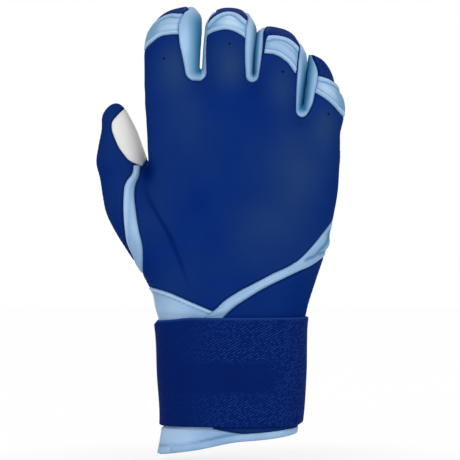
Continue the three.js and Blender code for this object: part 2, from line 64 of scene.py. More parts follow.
thumb_back_y = np.array([-16, -15.5, -14.5, -13, -11, -8.8, -6, -3, -0.5, 2, 5.2, 9])
thumb_front_y = np.array([17, 20, 21.5, 22.5, 23, 23.5, 23.8, 24, 23, 22, 19.6, 15.8])
thumb_side = np.array([2, 3, 4, 5, 6.5, 8, 9.5, 11, 12, 12.4, 12.4, 12.4])
finger_lean = 12
tip_radius = 10.5
# Of each finger: its width and depth at the knuckle and at the tip, the straight lengths past its middle and its last
# joint, its lean in degrees after each of them, where it stands off its joint's line, how square its two sides are,
# and how its middle sways and its sides swell at distances along it from the joint.
finger_forms = {
    "index": dict(
        width=26.2, depth=19, tip_width=17, tip_depth=15, middle=16, end=9, bent=76, bent_tip=130,
        shift=0.8, rise=-0.9, tilt_more=-0.03, root_share=0.3, square=(2.0, 3.4),
        sway=[(-54, -45, -39, -20, -8, 4), (0.95, 0.85, 0.55, -0.3, 0, 0.8)],
        left_more=[(-8, 0, 12), (0, 0.5, 0.5)],
        right_more=[(-20, -8, 0, 8), (0.3, 0.2, 0.3, 0.6)],
    ),
    "middle": dict(
        width=23.2, depth=19, tip_width=16.5, tip_depth=15, middle=18, end=10, bent=78, bent_tip=130,
        shift=0.9, rise=0, tilt_more=-0.01, root_share=0, square=(2.3, 2.4),
        sway=[(-12, 2), (0, 0.4)],
        left_more=[(-22, -8, 0), (0.7, 0.2, 0)],
        right_more=[(-20, 0), (-0.7, 0.4)],
    ),
    "ring": dict(
        width=23, depth=18.6, tip_width=16.5, tip_depth=15, middle=16, end=9, bent=76, bent_tip=130,
        shift=1.5, rise=-0.8, tilt_more=-0.03, root_share=0, square=(3.2, 2.3),
        sway=[(-16, 0), (0, 0)],
        left_more=[(-20, -12, -4, 6, 14, 26), (0.9, 0.7, 0.6, 1.3, 1.3, 0)],
        right_more=[(-30, -20, -9, 0, 8), (-1.5, -0.3, 0.8, 0.1, 0.1)],
    ),
    "little": dict(
        width=17.4, depth=16.4, tip_width=14, tip_depth=13, middle=14, end=8, bent=58, bent_tip=118,
        shift=0.4, rise=0, tilt_more=0.16, root_share=0, square=(3.2, 1.75),
        sway=[(-30, -16, -6, 0, 6, 14), (-0.6, -0.6, 1.0, 1.0, 0, -1.4)],
        left_more=[(-16, -9, 0, 8, 14), (1.6, 1.5, 0.6, 0.2, 0)],
        right_more=[(-24, -12, -4, 3, 8, 14, 22), (-0.3, -0.5, 0.1, 0.9, 0.9, -0.5, -1.1)],
    ),
}
finger_names = list(finger_forms)
web_tops = [175.5, 172.5, 157]


def smooth_curve(at, places, values):
    places, values = np.asarray(places, float), np.asarray(values, float)
    slopes = np.gradient(values, places)
    k = np.clip(np.searchsorted(places, at) - 1, 0, len(places) - 2)
    step = places[k + 1] - places[k]
    t = np.clip((at - places[k]) / step, 0, 1)
    start = (1 + 2 * t) * (1 - t) ** 2 * values[k] + t * (1 - t) ** 2 * step * slopes[k]
    return start + t * t * (3 - 2 * t) * values[k + 1] + t * t * (t - 1) * step * slopes[k + 1]


def ease(value, start, end):
    share = np.clip((value - start) / (end - start), 0, 1)
    return share * share * (3 - 2 * share)


def rounded_section(across, half, depth_offset, depth, squareness):
    u, v = np.abs(across / half), np.abs(depth_offset / depth)
    size = (u**squareness + v**squareness) ** (1 / squareness) + 1e-9
    slope = np.hypot((u / size) ** (squareness - 1) / half, (v / size) ** (squareness - 1) / depth)
    return size, slope


def stacked_form(points, heights, left, right, back, front, side, squareness):
    x, y, z = points.T
    low, high, rear, fore, middle = (smooth_curve(z, heights, values) for values in (left, right, back, front, side))
    depth = np.where(y < middle, middle - rear, fore - middle)
    across = x - (low + high) / 2
    square = np.where((across > 0) & (y < middle), squareness[1], squareness[0])
    size, slope = rounded_section(across, (high - low) / 2, y - middle, depth, square)
    return (size - 1) / np.maximum(slope, 1e-3)


def soft_union(a, b, radius):
    h = np.maximum(radius - np.abs(a - b), 0) / radius
    return np.minimum(a, b) - h * h * radius / 4


def soft_meet(a, b, radius):
    return -soft_union(-a, -b, radius)


# Each finger follows one line in its own upright plane: straight, round the middle joint, straight, round the
# last joint, straight. The line is placed by the joint that the finger curls about.
joint_of = {joint["name"]: joint for joint in frame["joints"]}
for name, finger in finger_forms.items():
    joint = joint_of[f"{name}_curl"]
    x, y, z = (1000 * v for v in joint["pos_m"])
    finger["x"], finger["y"], finger["z"] = x + finger["shift"], y, z + finger["rise"]
    finger["cos"], finger["sin"] = -joint["axis"][0], joint["axis"][2] + finger["tilt_more"]
    radius = finger["depth"] / 2 + 1.5
    mid_lean = math.radians((finger_lean + finger["bent"]) / 2)
    bends = [math.radians(a) for a in (finger_lean, finger["bent"], finger["bent_tip"])]
    headings = [np.array([math.sin(a), math.cos(a)]) for a in bends]
    rears = [np.array([-math.cos(a), math.sin(a)]) for a in bends]
    centre = np.array([finger["y"] + radius * math.cos(mid_lean), finger["z"] - radius * math.sin(mid_lean)])
    start = centre + radius * rears[0]
    root = max(start[1] - 140, 12)
    at = radius * (bends[0] - mid_lean)
    runs = [("straight", at - root, root, start - headings[0] * root, bends[0], 0)]
    runs.append(("bend", at, radius * (bends[1] - bends[0]), centre, bends[0], radius))
    at += runs[1][2]
    place = centre + radius * rears[1]
    runs.append(("straight", at, finger["middle"], place, bends[1], 0))
    at += finger["middle"]
    tip_centre = place + headings[1] * finger["middle"] - tip_radius * rears[1]
    runs.append(("bend", at, tip_radius * (bends[2] - bends[1]), tip_centre, bends[1], tip_radius))
    at += runs[3][2]
    runs.append(("straight", at, finger["end"], tip_centre + tip_radius * rears[2], bends[2], 0))
    finger["runs"], finger["bend_radius"] = runs, radius
    finger["tangent"] = np.array([0, math.sin(mid_lean), math.cos(mid_lean)])
    finger["marks"] = [run[1] for run in runs] + [at + finger["end"]]
    finger["shares"] = [finger["root_share"], -0.08 * finger["root_share"], 0.1, 0.5, 0.75, 1]


def finger_place(points, finger):
    """Across the finger, along its line from the joint, and off the line towards the palm."""
    across = (points[:, 0] - finger["x"]) / finger["cos"]
    y, z = points[:, 1], points[:, 2] + across * finger["sin"]
    best = np.full(len(points), np.inf)
    along, off = np.zeros(len(points)), np.zeros(len(points))
    for number, (kind, begin, length, place, lean, radius) in enumerate(finger["runs"]):
        if kind == "straight":
            run = (y - place[0]) * math.sin(lean) + (z - place[1]) * math.cos(lean)
            out = (y - place[0]) * math.cos(lean) - (z - place[1]) * math.sin(lean)
            first, last = number == 0, number == len(finger["runs"]) - 1
            held = np.clip(run, 0, length)
            far = np.hypot(run - held, out)
            run = np.where((first & (run < 0)) | (last & (run > length)), run, held)
        else:
            dy, dz = y - place[0], z - place[1]
            turn = np.arctan2(dz, -dy) - lean
            run = np.clip(np.where(turn < -2, turn + 2 * math.pi, turn) * radius, 0, length)
            out = radius - np.hypot(dy, dz)
            edge = lean + run / radius
            far = np.hypot(dy + (radius - out) * np.cos(edge), dz - (radius - out) * np.sin(edge)) + np.abs(out)
            far = np.where(np.abs(turn * radius - run) < 1e-6, np.abs(out), far)
        nearer = far < best
        best = np.where(nearer, far, best)
        along = np.where(nearer, begin + run, along)
        off = np.where(nearer, out, off)
    return across - np.interp(along, *finger["sway"]), along, off


def finger_half_sizes(along, finger):
    share = np.interp(along, finger["marks"], finger["shares"])
    half = (finger["width"] + (finger["tip_width"] - finger["width"]) * share) / 2
    depth = (finger["depth"] + (finger["tip_depth"] - finger["depth"]) * share) / 2
    return half, depth


def finger_form(points, finger):
    across, along, off = finger_place(points, finger)
    half, depth = finger_half_sizes(along, finger)
    half = half + np.where(across < 0, np.interp(along, *finger["left_more"]), np.interp(along, *finger["right_more"]))
    size, slope = rounded_section(across, half, off, depth, np.where(across < 0, *finger["square"]))
    past = np.maximum((along - finger["marks"][-1]) / (finger["tip_depth"] / 2), 0)
    past = past + np.maximum((finger["marks"][0] - along) / 14, 0)
    round_size = np.hypot(size, past)
    slope = np.hypot(slope * size / round_size, past / round_size / (finger["tip_depth"] / 2))
    return (round_size - 1) / np.maximum(slope, 1e-3)


slits = [-14, 9.9, 34.3]
slit_slants = [0, 0.06, 0.128]
slit_feet = [164, 163, 146]


def slit_x(number, z):
    return slits[number] + slit_slants[number] * (z - 165)


def hand_form(points):
    palm_rings = (palm_heights, palm_left, palm_right, palm_back, palm_front, palm_side)
    palm = stacked_form(points, *palm_rings, (palm_square, palm_square))
    palm = soft_meet(palm, points[:, 2] - 168.5, 4)
    x, y, z = points.T
    near_thumb = (x < 0) & (z > 60)
    thumb = np.full(len(points), 40.0)
    flatter = np.interp(z[near_thumb], [124, 136], [2.1, 3.2])
    thumb_rings = (thumb_heights, thumb_left, thumb_right, thumb_back_y, thumb_front_y, thumb_side)
    thumb[near_thumb] = stacked_form(points[near_thumb], *thumb_rings, (2.1, flatter))
    thumb = soft_meet(thumb, np.maximum(z - 159.4, 74 - z), 3)
    base = soft_union(palm, thumb, np.interp(z, [126, 137], [7, 0.8]))
    bare = np.full((4, len(points)), 40.0)
    for number, finger in enumerate(finger_forms.values()):
        near = (np.abs(x - finger["x"]) < finger["width"] / 2 + 8) & (z > 105)
        bare[number, near] = finger_form(points[near], finger)
    form = base.copy()
    webs = []
    for number, foot in enumerate(slit_feet):
        # Above its web each finger stays on its own side of the slit, so every wall is whole when one of them curls.
        web = np.interp(z, np.array([-4, 2.5]) + web_tops[number], [7, 0]) * (1 - ease(y, 8, 15)) + 0.01
        clear = 0.24 + 0.5 * (1 - ease(z, foot, foot + 10)) - 2 * (web - 0.01)
        beside = x - slit_x(number, z)
        bare[number] = np.maximum(bare[number], beside + clear)
        bare[number + 1] = np.maximum(bare[number + 1], clear - beside)
        webs.append(web)
    for number in range(4):
        if number:
            form = np.minimum(form, soft_union(bare[number - 1], bare[number], webs[number - 1]))
        form = np.minimum(form, soft_union(base, bare[number], 2.4))
    return form


def hand_normals(points):
    slopes = []
    for axis in range(3):
        step = np.zeros(3)
        step[axis] = 0.35
        slopes.append(hand_form(points + step) - hand_form(points - step))
    slopes = np.stack(slopes, 1)
    return slopes / np.maximum(np.linalg.norm(slopes, axis=1, keepdims=True), 1e-9)


# The skin is drawn where the form's distance changes sign on a grid of small cells. The slits between the
# fingers are narrower than two cells, so the grid is spread apart there.
cell, slit_spread = 0.9, 2.4


def finger_slot(points):
    return sum((points[:, 0] > slit_x(number, points[:, 2])).astype(int) for number in range(3))


def nearest_slit(points):
    """The slit nearest to each point, and how far right of it the point is."""
    gaps = np.stack([points[:, 0] - slit_x(number, points[:, 2]) for number in range(3)], 1)
    number = np.argmin(np.abs(gaps), 1)
    return number, gaps[np.arange(len(points)), number]


grid_x = np.arange(-67, 62, cell)
grid_y = np.arange(-26, 53, cell)
grid_z = np.arange(-9.5, 209.5, cell)
true_x = np.zeros((len(grid_x), len(grid_z)))
fine_x = np.linspace(-70, 62, 2641)
for k, z in enumerate(grid_z):
    spread = fine_x.copy()
    for number, foot in enumerate(slit_feet):
        slit = slit_x(number, z)
        spread = spread + slit_spread * ease(z, foot, foot + 10) * ease(fine_x, slit - 1, slit + 1)
    true_x[:, k] = np.interp(grid_x, spread, fine_x)
field = np.zeros((len(grid_x), len(grid_y), len(grid_z)))
for i in range(len(grid_x)):
    column = np.zeros((len(grid_y), len(grid_z), 3))
    column[:, :, 0] = true_x[i][None, :]
    column[:, :, 1] = grid_y[:, None]
    column[:, :, 2] = grid_z[None, :]
    field[i] = hand_form(column.reshape(-1, 3)).reshape(len(grid_y), len(grid_z))

inside = field < 0
corner_steps = [(a, b, c) for a in (0, 1) for b in (0, 1) for c in (0, 1)]
nx, ny, nz = (size - 1 for size in field.shape)
count = sum(inside[a:nx + a, b:ny + b, c:nz + c].astype(int) for a, b, c in corner_steps)
cells = np.argwhere((count > 0) & (count < 8))
number = np.full(count.shape, -1)
number[tuple(cells.T)] = np.arange(len(cells))
corner = {s: field[tuple((cells + s).T)] for s in corner_steps}
total, crossings = np.zeros((len(cells), 3)), np.zeros(len(cells))
for a in corner_steps:
    for axis in range(3):
        if a[axis] == 0:
            b = tuple(1 if k == axis else a[k] for k in range(3))
            crosses = (corner[a] < 0) != (corner[b] < 0)
            share = np.where(crosses, corner[a] / np.where(crosses, corner[a] - corner[b], 1), 0)
            place = np.array(a, float)[None, :] + share[:, None] * np.eye(3)[axis]
            total += np.where(crosses[:, None], place, 0)
            crossings += crosses
cell_place = cells + total / crossings[:, None]
quads = []
for axis in range(3):
    b_axis, c_axis = (axis + 1) % 3, (axis + 2) % 3
    low = np.take(inside, range(inside.shape[axis] - 1), axis)
    high = np.take(inside, range(1, inside.shape[axis]), axis)
    edges = np.argwhere(low != high)
    edges = edges[(edges[:, b_axis] > 0) & (edges[:, c_axis] > 0)]
    edges = edges[(edges[:, b_axis] < count.shape[b_axis]) & (edges[:, c_axis] < count.shape[c_axis])]
    around = []
    for db, dc in ((-1, -1), (0, -1), (0, 0), (-1, 0)):
        at = edges.copy()
        at[:, b_axis] += db
        at[:, c_axis] += dc
        around.append(number[tuple(at.T)])
    quad = np.stack(around, 1)
    outward = low[tuple(edges.T)]
    quads.append(np.where(outward[:, None], quad, quad[:, ::-1]))
quads = np.concatenate(quads)
row, level = cell_place[:, 0], cell_place[:, 2]
r0, l0 = np.floor(row).astype(int), np.floor(level).astype(int)
fr, fl = row - r0, level - l0
r1, l1 = np.minimum(r0 + 1, len(grid_x) - 1), np.minimum(l0 + 1, len(grid_z) - 1)
skin_x = (true_x[r0, l0] * (1 - fr) + true_x[r1, l0] * fr) * (1 - fl)
skin_x = skin_x + (true_x[r0, l1] * (1 - fr) + true_x[r1, l1] * fr) * fl
skin = np.stack([skin_x, grid_y[0] + cell * cell_place[:, 1], grid_z[0] + cell * level], 1)


def settle(points, rounds):
    for _ in range(rounds):
        normals = hand_normals(points)
        points = points - normals * np.clip(hand_form(points), -0.8, 0.8)[:, None]
    return points


skin = settle(skin, 2)
short = np.linalg.norm(skin[quads[:, 0]] - skin[quads[:, 2]], axis=1)
other = np.linalg.norm(skin[quads[:, 1]] - skin[quads[:, 3]], axis=1)
first = np.where((short < other)[:, None], quads[:, [0, 1, 2]], quads[:, [0, 1, 3]])
second = np.where((short < other)[:, None], quads[:, [0, 2, 3]], quads[:, [1, 2, 3]])
skin_faces = np.concatenate([first, second])

# The patterns: every seam is a line on which a value that the skin's points carry is nought. The triangles are
# cut along it, so that each panel gets a clean edge where it is sewn to the next.
seam_names = """mouth wall wall_depth low up flex_end back crease slit gusset_left gusset_right gusset_top patch
thumb_edge thumb_low v_left trim_top trim_low trim_foot trim_left palm_seam ulnar_edge ulnar_foot""".split()
strap_foot, strap_width = 8.2, 50.8
strap_top = strap_foot + strap_width
# Along and across each finger: the knuckle panel's lower and upper edge, and its ends where leather frames them.
flex_edges = {
    "index": dict(
        low=([-10.3, -6.1, -1.5, 2.8], [-3.1, -2.5, -2.9, -3.4]), up=([-9, -5.7, -1.5, 3.5], [12.4, 10.2, 7.4, 4.4]),
        ends=None, blend=(-5.5, 5.5),
    ),
    "middle": dict(
        low=([-9.9, -5.4, -0.9, 3.6, 8.1], [-2.9, -2.6, -2.4, -3.1, -4.4]),
        up=([-10, -7, -3.6, 0, 4.5, 8.1], [2, 3.4, 4.8, 5.6, 4.5, 2.2]), ends=None, blend=(-4, 6),
    ),
    "ring": dict(
        low=([-5.9, -2.9, 1.8, 4.9, 7], [-3.8, -3.7, -4.6, -5.9, -8.2]),
        up=([-6.3, -2.9, 0.2, 5.2, 9.2], [2.5, 3.2, 3.5, 3.3, 2.3]),
        ends=([-8.6, -4, -1, 2.5], [-8.4, -7.9, -7.2, -6.3], [7.5, 8.3, 8.8, 9.2]), blend=(-6.5, 3.5),
    ),
    "little": dict(
        low=([-4.2, 0.9, 5.6, 8.2], [-2.8, -3.1, -3.8, -4.7]), up=([-2, 0.9, 4.1, 6.9], [3.4, 4.2, 6.8, 12]),
        ends=None, blend=(-4.5, 5),
    ),
}
# Along each finger: how far from its middle the wall towards a neighbour starts.
wall_lines = {
    ("index", "ulnar"): ([-30, -20, -12.7, -5.8, -2.5, 0.6, 3.7, 11.7, 20, 32, 41, 50],
                         [7.4, 6.3, 4.9, 3.5, 3, 3.3, 4.9, 7.4, 7.2, 6.2, 5.2, 4.4]),
    ("middle", "radial"): ([-30, -2, 6, 12, 18, 26, 36, 46], [10.2, 10.2, 9.2, 7, 5.8, 6.2, 5.6, 5]),
    ("middle", "ulnar"): ([-30, -1, 3.4, 9, 24, 34, 46], [8.5, 8.3, 9, 9.2, 7.6, 6.5, 5.6]),
    ("ring", "radial"): ([-30, -14, -10, -5, -2, 3.6, 22, 32, 44], [10.8, 10.6, 10, 9.2, 8.6, 8.1, 7, 6.2, 5.4]),
    ("ring", "ulnar"): ([-30, -19, -8.6, -4.2, -0.4, 11.6, 22, 32, 44], [7.5, 7.7, 8.3, 8.8, 9.4, 9.6, 8.2, 7, 6]),
    ("little", "radial"): ([-16, -13.8, -7.6, -2.7, 0.2, 3.2, 8.5, 14.8, 20, 28, 38],
                           [8.4, 8.1, 5.8, 4.6, 3.4, 2.8, 2.8, 3.9, 5.2, 4.8, 4]),
}
web_feet = [169.2, 168.7, 151.8]
web_rounds = [4, 2.8, 3.6]


def mouth_height(x, y):
    """The slanted mouth of the cuff, a little higher in the middle of the back."""
    lift = 1.4 * np.exp(-(x / 13) ** 2) + 0.45 * ease(x, -8, -26)
    return x * math.tan(math.radians(9)) + lift * ease(y, 3, -9)


def seam_line(at, line):
    places, values = zip(*line)
    return smooth_curve(np.clip(at, places[0], places[-1]), places, values)


def round_corner(a, b, radius):
    inner = radius - np.hypot(np.maximum(radius - a, 0), np.maximum(radius - b, 0))
    return np.where((a < radius) & (b < radius), inner, np.minimum(a, b))


patch_line = [(127, -39.6), (129.4, -41.4), (131.4, -46.4), (135.6, -50.9), (142.3, -54.8), (147.7, -56.5),
              (150.1, -56.4), (154, -53.6), (157.1, -50.5), (161, -46)]
gusset_left = [(76, -42.6), (80, -44), (87.6, -46.4), (93.4, -49), (100.2, -50.1), (117.4, -50.5), (119.7, -50.3),
               (122.8, -49), (126, -46.6), (130.7, -45.9)]
gusset_right = [(76, -41.3), (79.4, -41.5), (92.6, -41.7), (99.6, -43.2), (109.6, -44.7), (115.8, -45.3),
                (121.3, -44.7), (125.2, -43.1), (130.7, -42.4)]
v_left_line = [(-60, 75.5), (-37.6, 72.8), (-29.1, 70.5), (-19.7, 66.6), (-8.5, 61.9), (0, 58.3)]
trim_top_line = [(-16, 55.9), (-12, 59.4), (-8.5, 62.4), (-4.1, 66.1), (2.1, 70.4), (11.4, 75.3), (19.2, 79.4),
                 (27, 83), (31.7, 86), (37.1, 91.4), (42.6, 98), (46.5, 103), (52, 109.4)]
trim_low_line = [(-13, 51.5), (-8, 55.5), (-3.4, 59.6), (0.5, 63.2), (7.5, 68), (15.3, 72.7), (23.1, 76.5),
                 (30.9, 80.2), (37.9, 83.3), (43, 86.9), (50, 92.5)]
thumb_edge_line = [(119, -42.4), (126, -42.2), (129.5, -41.7), (132.4, -40.3), (136, -40.6), (147, -42.6), (160, -45.6)]
thumb_foot, finger_foot = 119, 140
gusset_side, gusset_foot = -36, 76
seam_snap = 0.24
crumb_faces = 150


def seam_values(points):
    x, y, z = points.T
    values = {name: np.full(len(points), -50.0) for name in seam_names}
    values["mouth"] = z - mouth_height(x, y)
    values["flex_end"] = values["flex_end"] + 100
    slot = finger_slot(points)
    thumb_zone = (z > thumb_foot) & (x < seam_line(z, thumb_edge_line))
    beside_thumb = (x < -25) & (z < 129)
    hand_side = np.interp(z, palm_heights, palm_side) - 1.2
    hand_side = np.where(x < -25, np.interp(z, [129, 133, 139, 146], [10.5, 8.5, -3, -5]), hand_side)
    thumb_line = np.interp(z, [62, 74, *thumb_heights[1:]], [-1.2, 1, *thumb_side[1:]])
    values["back"] = np.where(thumb_zone | beside_thumb, thumb_line, hand_side) - y
    for number, (name, finger) in enumerate(finger_forms.items()):
        here = (slot == number) & (z > 135) & ~thumb_zone
        across, along, off = finger_place(points[here], finger)
        half, depth = finger_half_sizes(along, finger)
        upright = z[here] + across * finger["sin"]
        sway = np.interp(along, *finger["sway"])
        edge = flex_edges[name]
        values["low"][here] = along - smooth_curve(across + sway, *edge["low"])
        values["up"][here] = along - smooth_curve(across + sway, *edge["up"])
        if edge["ends"]:
            places, left, right = edge["ends"]
            inside_left = across + sway - np.interp(along, places, left)
            values["flex_end"][here] = np.minimum(inside_left, np.interp(along, places, right) - across - sway)
        joint_line = np.interp(upright, [146, finger["z"]], [-5 if number == 0 else -9.2, finger["y"]])
        above = np.where(along > 0, -off, joint_line - y[here])
        above = above if number in (0, 3) else -off
        values["back"][here] = np.where(z[here] > 146, above, values["back"][here])
        mid_lean = math.atan2(finger["tangent"][1], finger["tangent"][2])
        swing = mid_lean - math.radians(finger_lean)
        reach = edge["blend"][0] + (finger["bend_radius"] - finger["depth"] / 2) * math.sin(swing)
        crease = finger["marks"][1] + reach / math.cos(swing)
        values["crease"][here] = along - crease
        wall = np.full(here.sum(), -50.0)
        taper = ease(along, finger["marks"][-1] - 18, finger["marks"][-1])
        for side, sign, foot in (("radial", -1, number - 1), ("ulnar", 1, number)):
            if (name, side) in wall_lines:
                limit = smooth_curve(along, *wall_lines[(name, side)]) - sign * sway
                whole = half + np.interp(along, *finger["left_more" if side == "radial" else "right_more"])
                limit = limit + (whole - limit) * taper
                one = round_corner(sign * across - limit, z[here] - web_feet[foot], web_rounds[foot])
                one = np.where(along > 0, sign * across - limit, one)
                wall = np.maximum(wall, np.minimum(one, finger["marks"][-1] + 2 - along))
        values["wall"][here] = wall
        values["wall_depth"][here] = (0.5 - 0.55 * taper) * depth - off
    values["slit"] = nearest_slit(points)[1]
    values["gusset_left"] = x - seam_line(z, gusset_left)
    values["gusset_right"] = seam_line(z, gusset_right) - x
    values["gusset_top"] = 130.2 - z
    values["patch"] = x - seam_line(z, patch_line)
    values["thumb_edge"] = seam_line(z, thumb_edge_line) - x
    values["thumb_low"] = z - 121
    values["v_left"] = seam_line(x, v_left_line) - z
    values["trim_top"] = seam_line(x, trim_top_line) - z
    values["trim_low"] = seam_line(x, trim_low_line) - z
    values["trim_foot"] = z - strap_top + 1.4
    values["trim_left"] = x - (-8.5 - 1.12 * (61.9 - z))
    values["palm_seam"] = 62.5 - z
    values["ulnar_edge"] = x + 8.6
    values["ulnar_foot"] = z - 7.5 + 2.6 * np.maximum(1 - ((x - 11.7) / 20) ** 2, 0)
    return np.stack([values[name] for name in seam_names], 1)


def edge_pairs(faces, size):
    ends = np.sort(np.concatenate([faces[:, [0, 1]], faces[:, [1, 2]], faces[:, [2, 0]]]), 1)
    keys = ends[:, 0].astype(np.int64) * size + ends[:, 1]
    unique, inverse, uses = np.unique(keys, return_inverse=True, return_counts=True)
    return unique // size, unique % size, inverse.reshape(3, -1).T, uses


def cut_along(points, marks, faces, column, free, here=None):
    """Cuts the triangles where one carried value is nought; points close to the line move on to it."""
    points, marks, free = points.copy(), marks.copy(), free.copy()
    here = np.ones(len(points), bool) if here is None else here
    for moving in (True, False):
        value = marks[:, column]
        a, b, sides, _ = edge_pairs(faces, len(points))
        crosses = (value[a] * value[b] < 0) & here[a] & here[b]
        slots = np.where(crosses, len(points) + np.cumsum(crosses) - 1, -1)
        a, b = a[crosses], b[crosses]
        share = value[a] / (value[a] - value[b])
        if moving:
            near, far = np.concatenate([a, b]), np.concatenate([b, a])
            shares = np.concatenate([share, 1 - share])
            close = shares < seam_snap
            order = np.argsort(-shares[close], kind="stable")
            near, far, shares = near[close][order], far[close][order], shares[close][order]
            can = free[near]
            old_points, old_marks = points.copy(), marks.copy()
            n, f, s = near[can], far[can], shares[can][:, None]
            points[n] = old_points[n] * (1 - s) + old_points[f] * s
            marks[n] = old_marks[n] * (1 - s) + old_marks[f] * s
            marks[near, column] = 0
            free[near] = False
    points = np.concatenate([points, points[a] * (1 - share[:, None]) + points[b] * share[:, None]])
    marks = np.concatenate([marks, marks[a] * (1 - share[:, None]) + marks[b] * share[:, None]])
    marks[len(free):, column] = 0
    free = np.concatenate([free, np.zeros(len(a), bool)])
    made = slots[sides]
    hits = (made >= 0).sum(1)
    kept = [faces[hits == 0]]
    for turn in range(3):
        f, m = np.roll(faces, -turn, 1), np.roll(made, -turn, 1)
        one = (hits == 1) & (m[:, 0] >= 0)
        kept.append(np.stack([f[one, 0], m[one, 0], f[one, 2]], 1))
        kept.append(np.stack([m[one, 0], f[one, 1], f[one, 2]], 1))
        two = (hits == 2) & (m[:, 1] < 0)
        p, q = m[two, 0], m[two, 2]
        kept.append(np.stack([f[two, 0], p, q], 1))
        kept.append(np.stack([p, f[two, 1], f[two, 2]], 1))
        kept.append(np.stack([p, f[two, 2], q], 1))
    return points, marks, np.concatenate(kept), free


seam_marks = seam_values(skin)
free = np.ones(len(skin), bool)
for name in seam_names:
    value = {key: seam_marks[:, k] for k, key in enumerate(seam_names)}
    x, y, z = skin.T
    on_thumb = (z > thumb_foot) & (value["thumb_edge"] > 0)
    on_finger = (z > finger_foot) & ~on_thumb
    rear = value["back"] > -2
    region = {
        "mouth": z < 20,
        "wall": on_finger,
        "wall_depth": on_finger & (value["wall"] > -0.5),
        "low": on_finger & rear & (value["wall"] < 0.5),
        "up": on_finger & rear & (value["wall"] < 0.5),
        "flex_end": on_finger & rear & (value["wall"] < 0.5) & (value["low"] > -0.5) & (value["up"] < 0.5),
        "back": z > 4,
        "crease": on_finger & (value["back"] < 1) & (z > 144),
        "slit": on_finger & (z > 145) & (value["wall"] > -0.5),
        "gusset_left": (x < gusset_side) & (z > gusset_foot) & (z < 132) & rear,
        "gusset_right": (x < gusset_side) & (z > gusset_foot) & (z < 132) & rear,
        "gusset_top": (x < gusset_side) & rear & (value["gusset_left"] > -1) & (value["gusset_right"] > -1),
        "patch": on_thumb & (z > 128) & rear,
        "thumb_edge": (x < -30) & (z > thumb_foot) & (z < 137),
        "thumb_low": (x < -30) & (value["back"] < 1) & (value["thumb_edge"] > -1),
        "v_left": (x < -6) & (z > 56) & (z < 80) & rear,
        "trim_top": (x > -12) & (z > 56) & rear,
        "trim_low": (x > -12) & (z > 52) & rear,
        "trim_foot": (x > -14) & (x < 6) & rear,
        "trim_left": (x < -2) & (x > -18) & (z > 55) & (z < 66) & rear,
        "palm_seam": value["back"] < 1,
        "ulnar_edge": (z > 2) & (z < 63) & rear,
        "ulnar_foot": (z < 12) & rear & (x > -10),
    }[name]
    column = seam_names.index(name)
    skin, seam_marks, skin_faces, free = cut_along(skin, seam_marks, skin_faces, column, free, region)
off_form = np.abs(hand_form(skin)) > 0.002
skin[off_form] = settle(skin[off_form], 1)

value = {key: seam_marks[skin_faces, k].mean(1) for k, key in enumerate(seam_names)}
face_middle = skin[skin_faces].mean(1)
x, y, z = face_middle.T
on_thumb = (z > thumb_foot) & (value["thumb_edge"] > 0)
on_finger = (z > finger_foot) & ~on_thumb
rear = value["back"] > 0
slot = finger_slot(face_middle)
panel_of = np.full(len(skin_faces), "", dtype="U16")


def cut_out(name, where):
    panel_of[where & (panel_of == "")] = name


cut_out("cut_away", value["mouth"] < 0)
for number, name in enumerate(finger_names):
    mine = on_finger & (slot == number)
    wall = mine & (value["wall"] > 0) & (value["wall_depth"] > 0)
    cut_out(f"{name}_radial", wall & (value["slit"] > 0))
    cut_out(f"{name}_ulnar", wall & (value["slit"] <= 0))
    cut_out(f"{name}_front", mine & ~rear & (value["crease"] > 0))
    cut_out(f"{name}_tip", mine & rear & (value["up"] > 0) & (value["crease"] > 0))
    cut_out(f"{name}_tip", mine & rear & (value["low"] > 0) & (value["flex_end"] < 0))
    cut_out(f"{name}_flex", mine & rear & (value["low"] > 0))
cut_out("thumb_front", on_thumb & ((rear & (value["patch"] > 0) & (z > 128.9)) | (~rear & (value["thumb_low"] > 0))))
in_gusset = (value["gusset_left"] > 0) & (value["gusset_right"] > 0) & (value["gusset_top"] > 0)
cut_out("gusset", in_gusset & rear & (z > gusset_foot) & (x < gusset_side))
beside_gusset = (value["gusset_left"] <= 0) & (x < gusset_side) & (z > 80)
cut_out("thumb_back", rear & ((on_thumb & (z > 130.2)) | beside_gusset))
low_left = rear & (value["v_left"] > 0) & ((x < -8.5) | (value["trim_left"] < 0))
in_trim = (value["trim_top"] > 0) & (value["trim_low"] < 0) & (value["trim_foot"] > 0) & (value["trim_left"] > 0)
cut_out("trim", rear & in_trim)
in_ulnar = (value["ulnar_edge"] > 0) & (value["ulnar_foot"] > 0)
cut_out("ulnar", rear & in_ulnar & ((value["trim_low"] > 0) | (value["trim_foot"] <= 0)))
cut_out("cuff", (rear & (low_left | (value["trim_foot"] <= 0))) | (~rear & (value["palm_seam"] > 0)))
cut_out("back", rear)
cut_out("palm", ~rear)

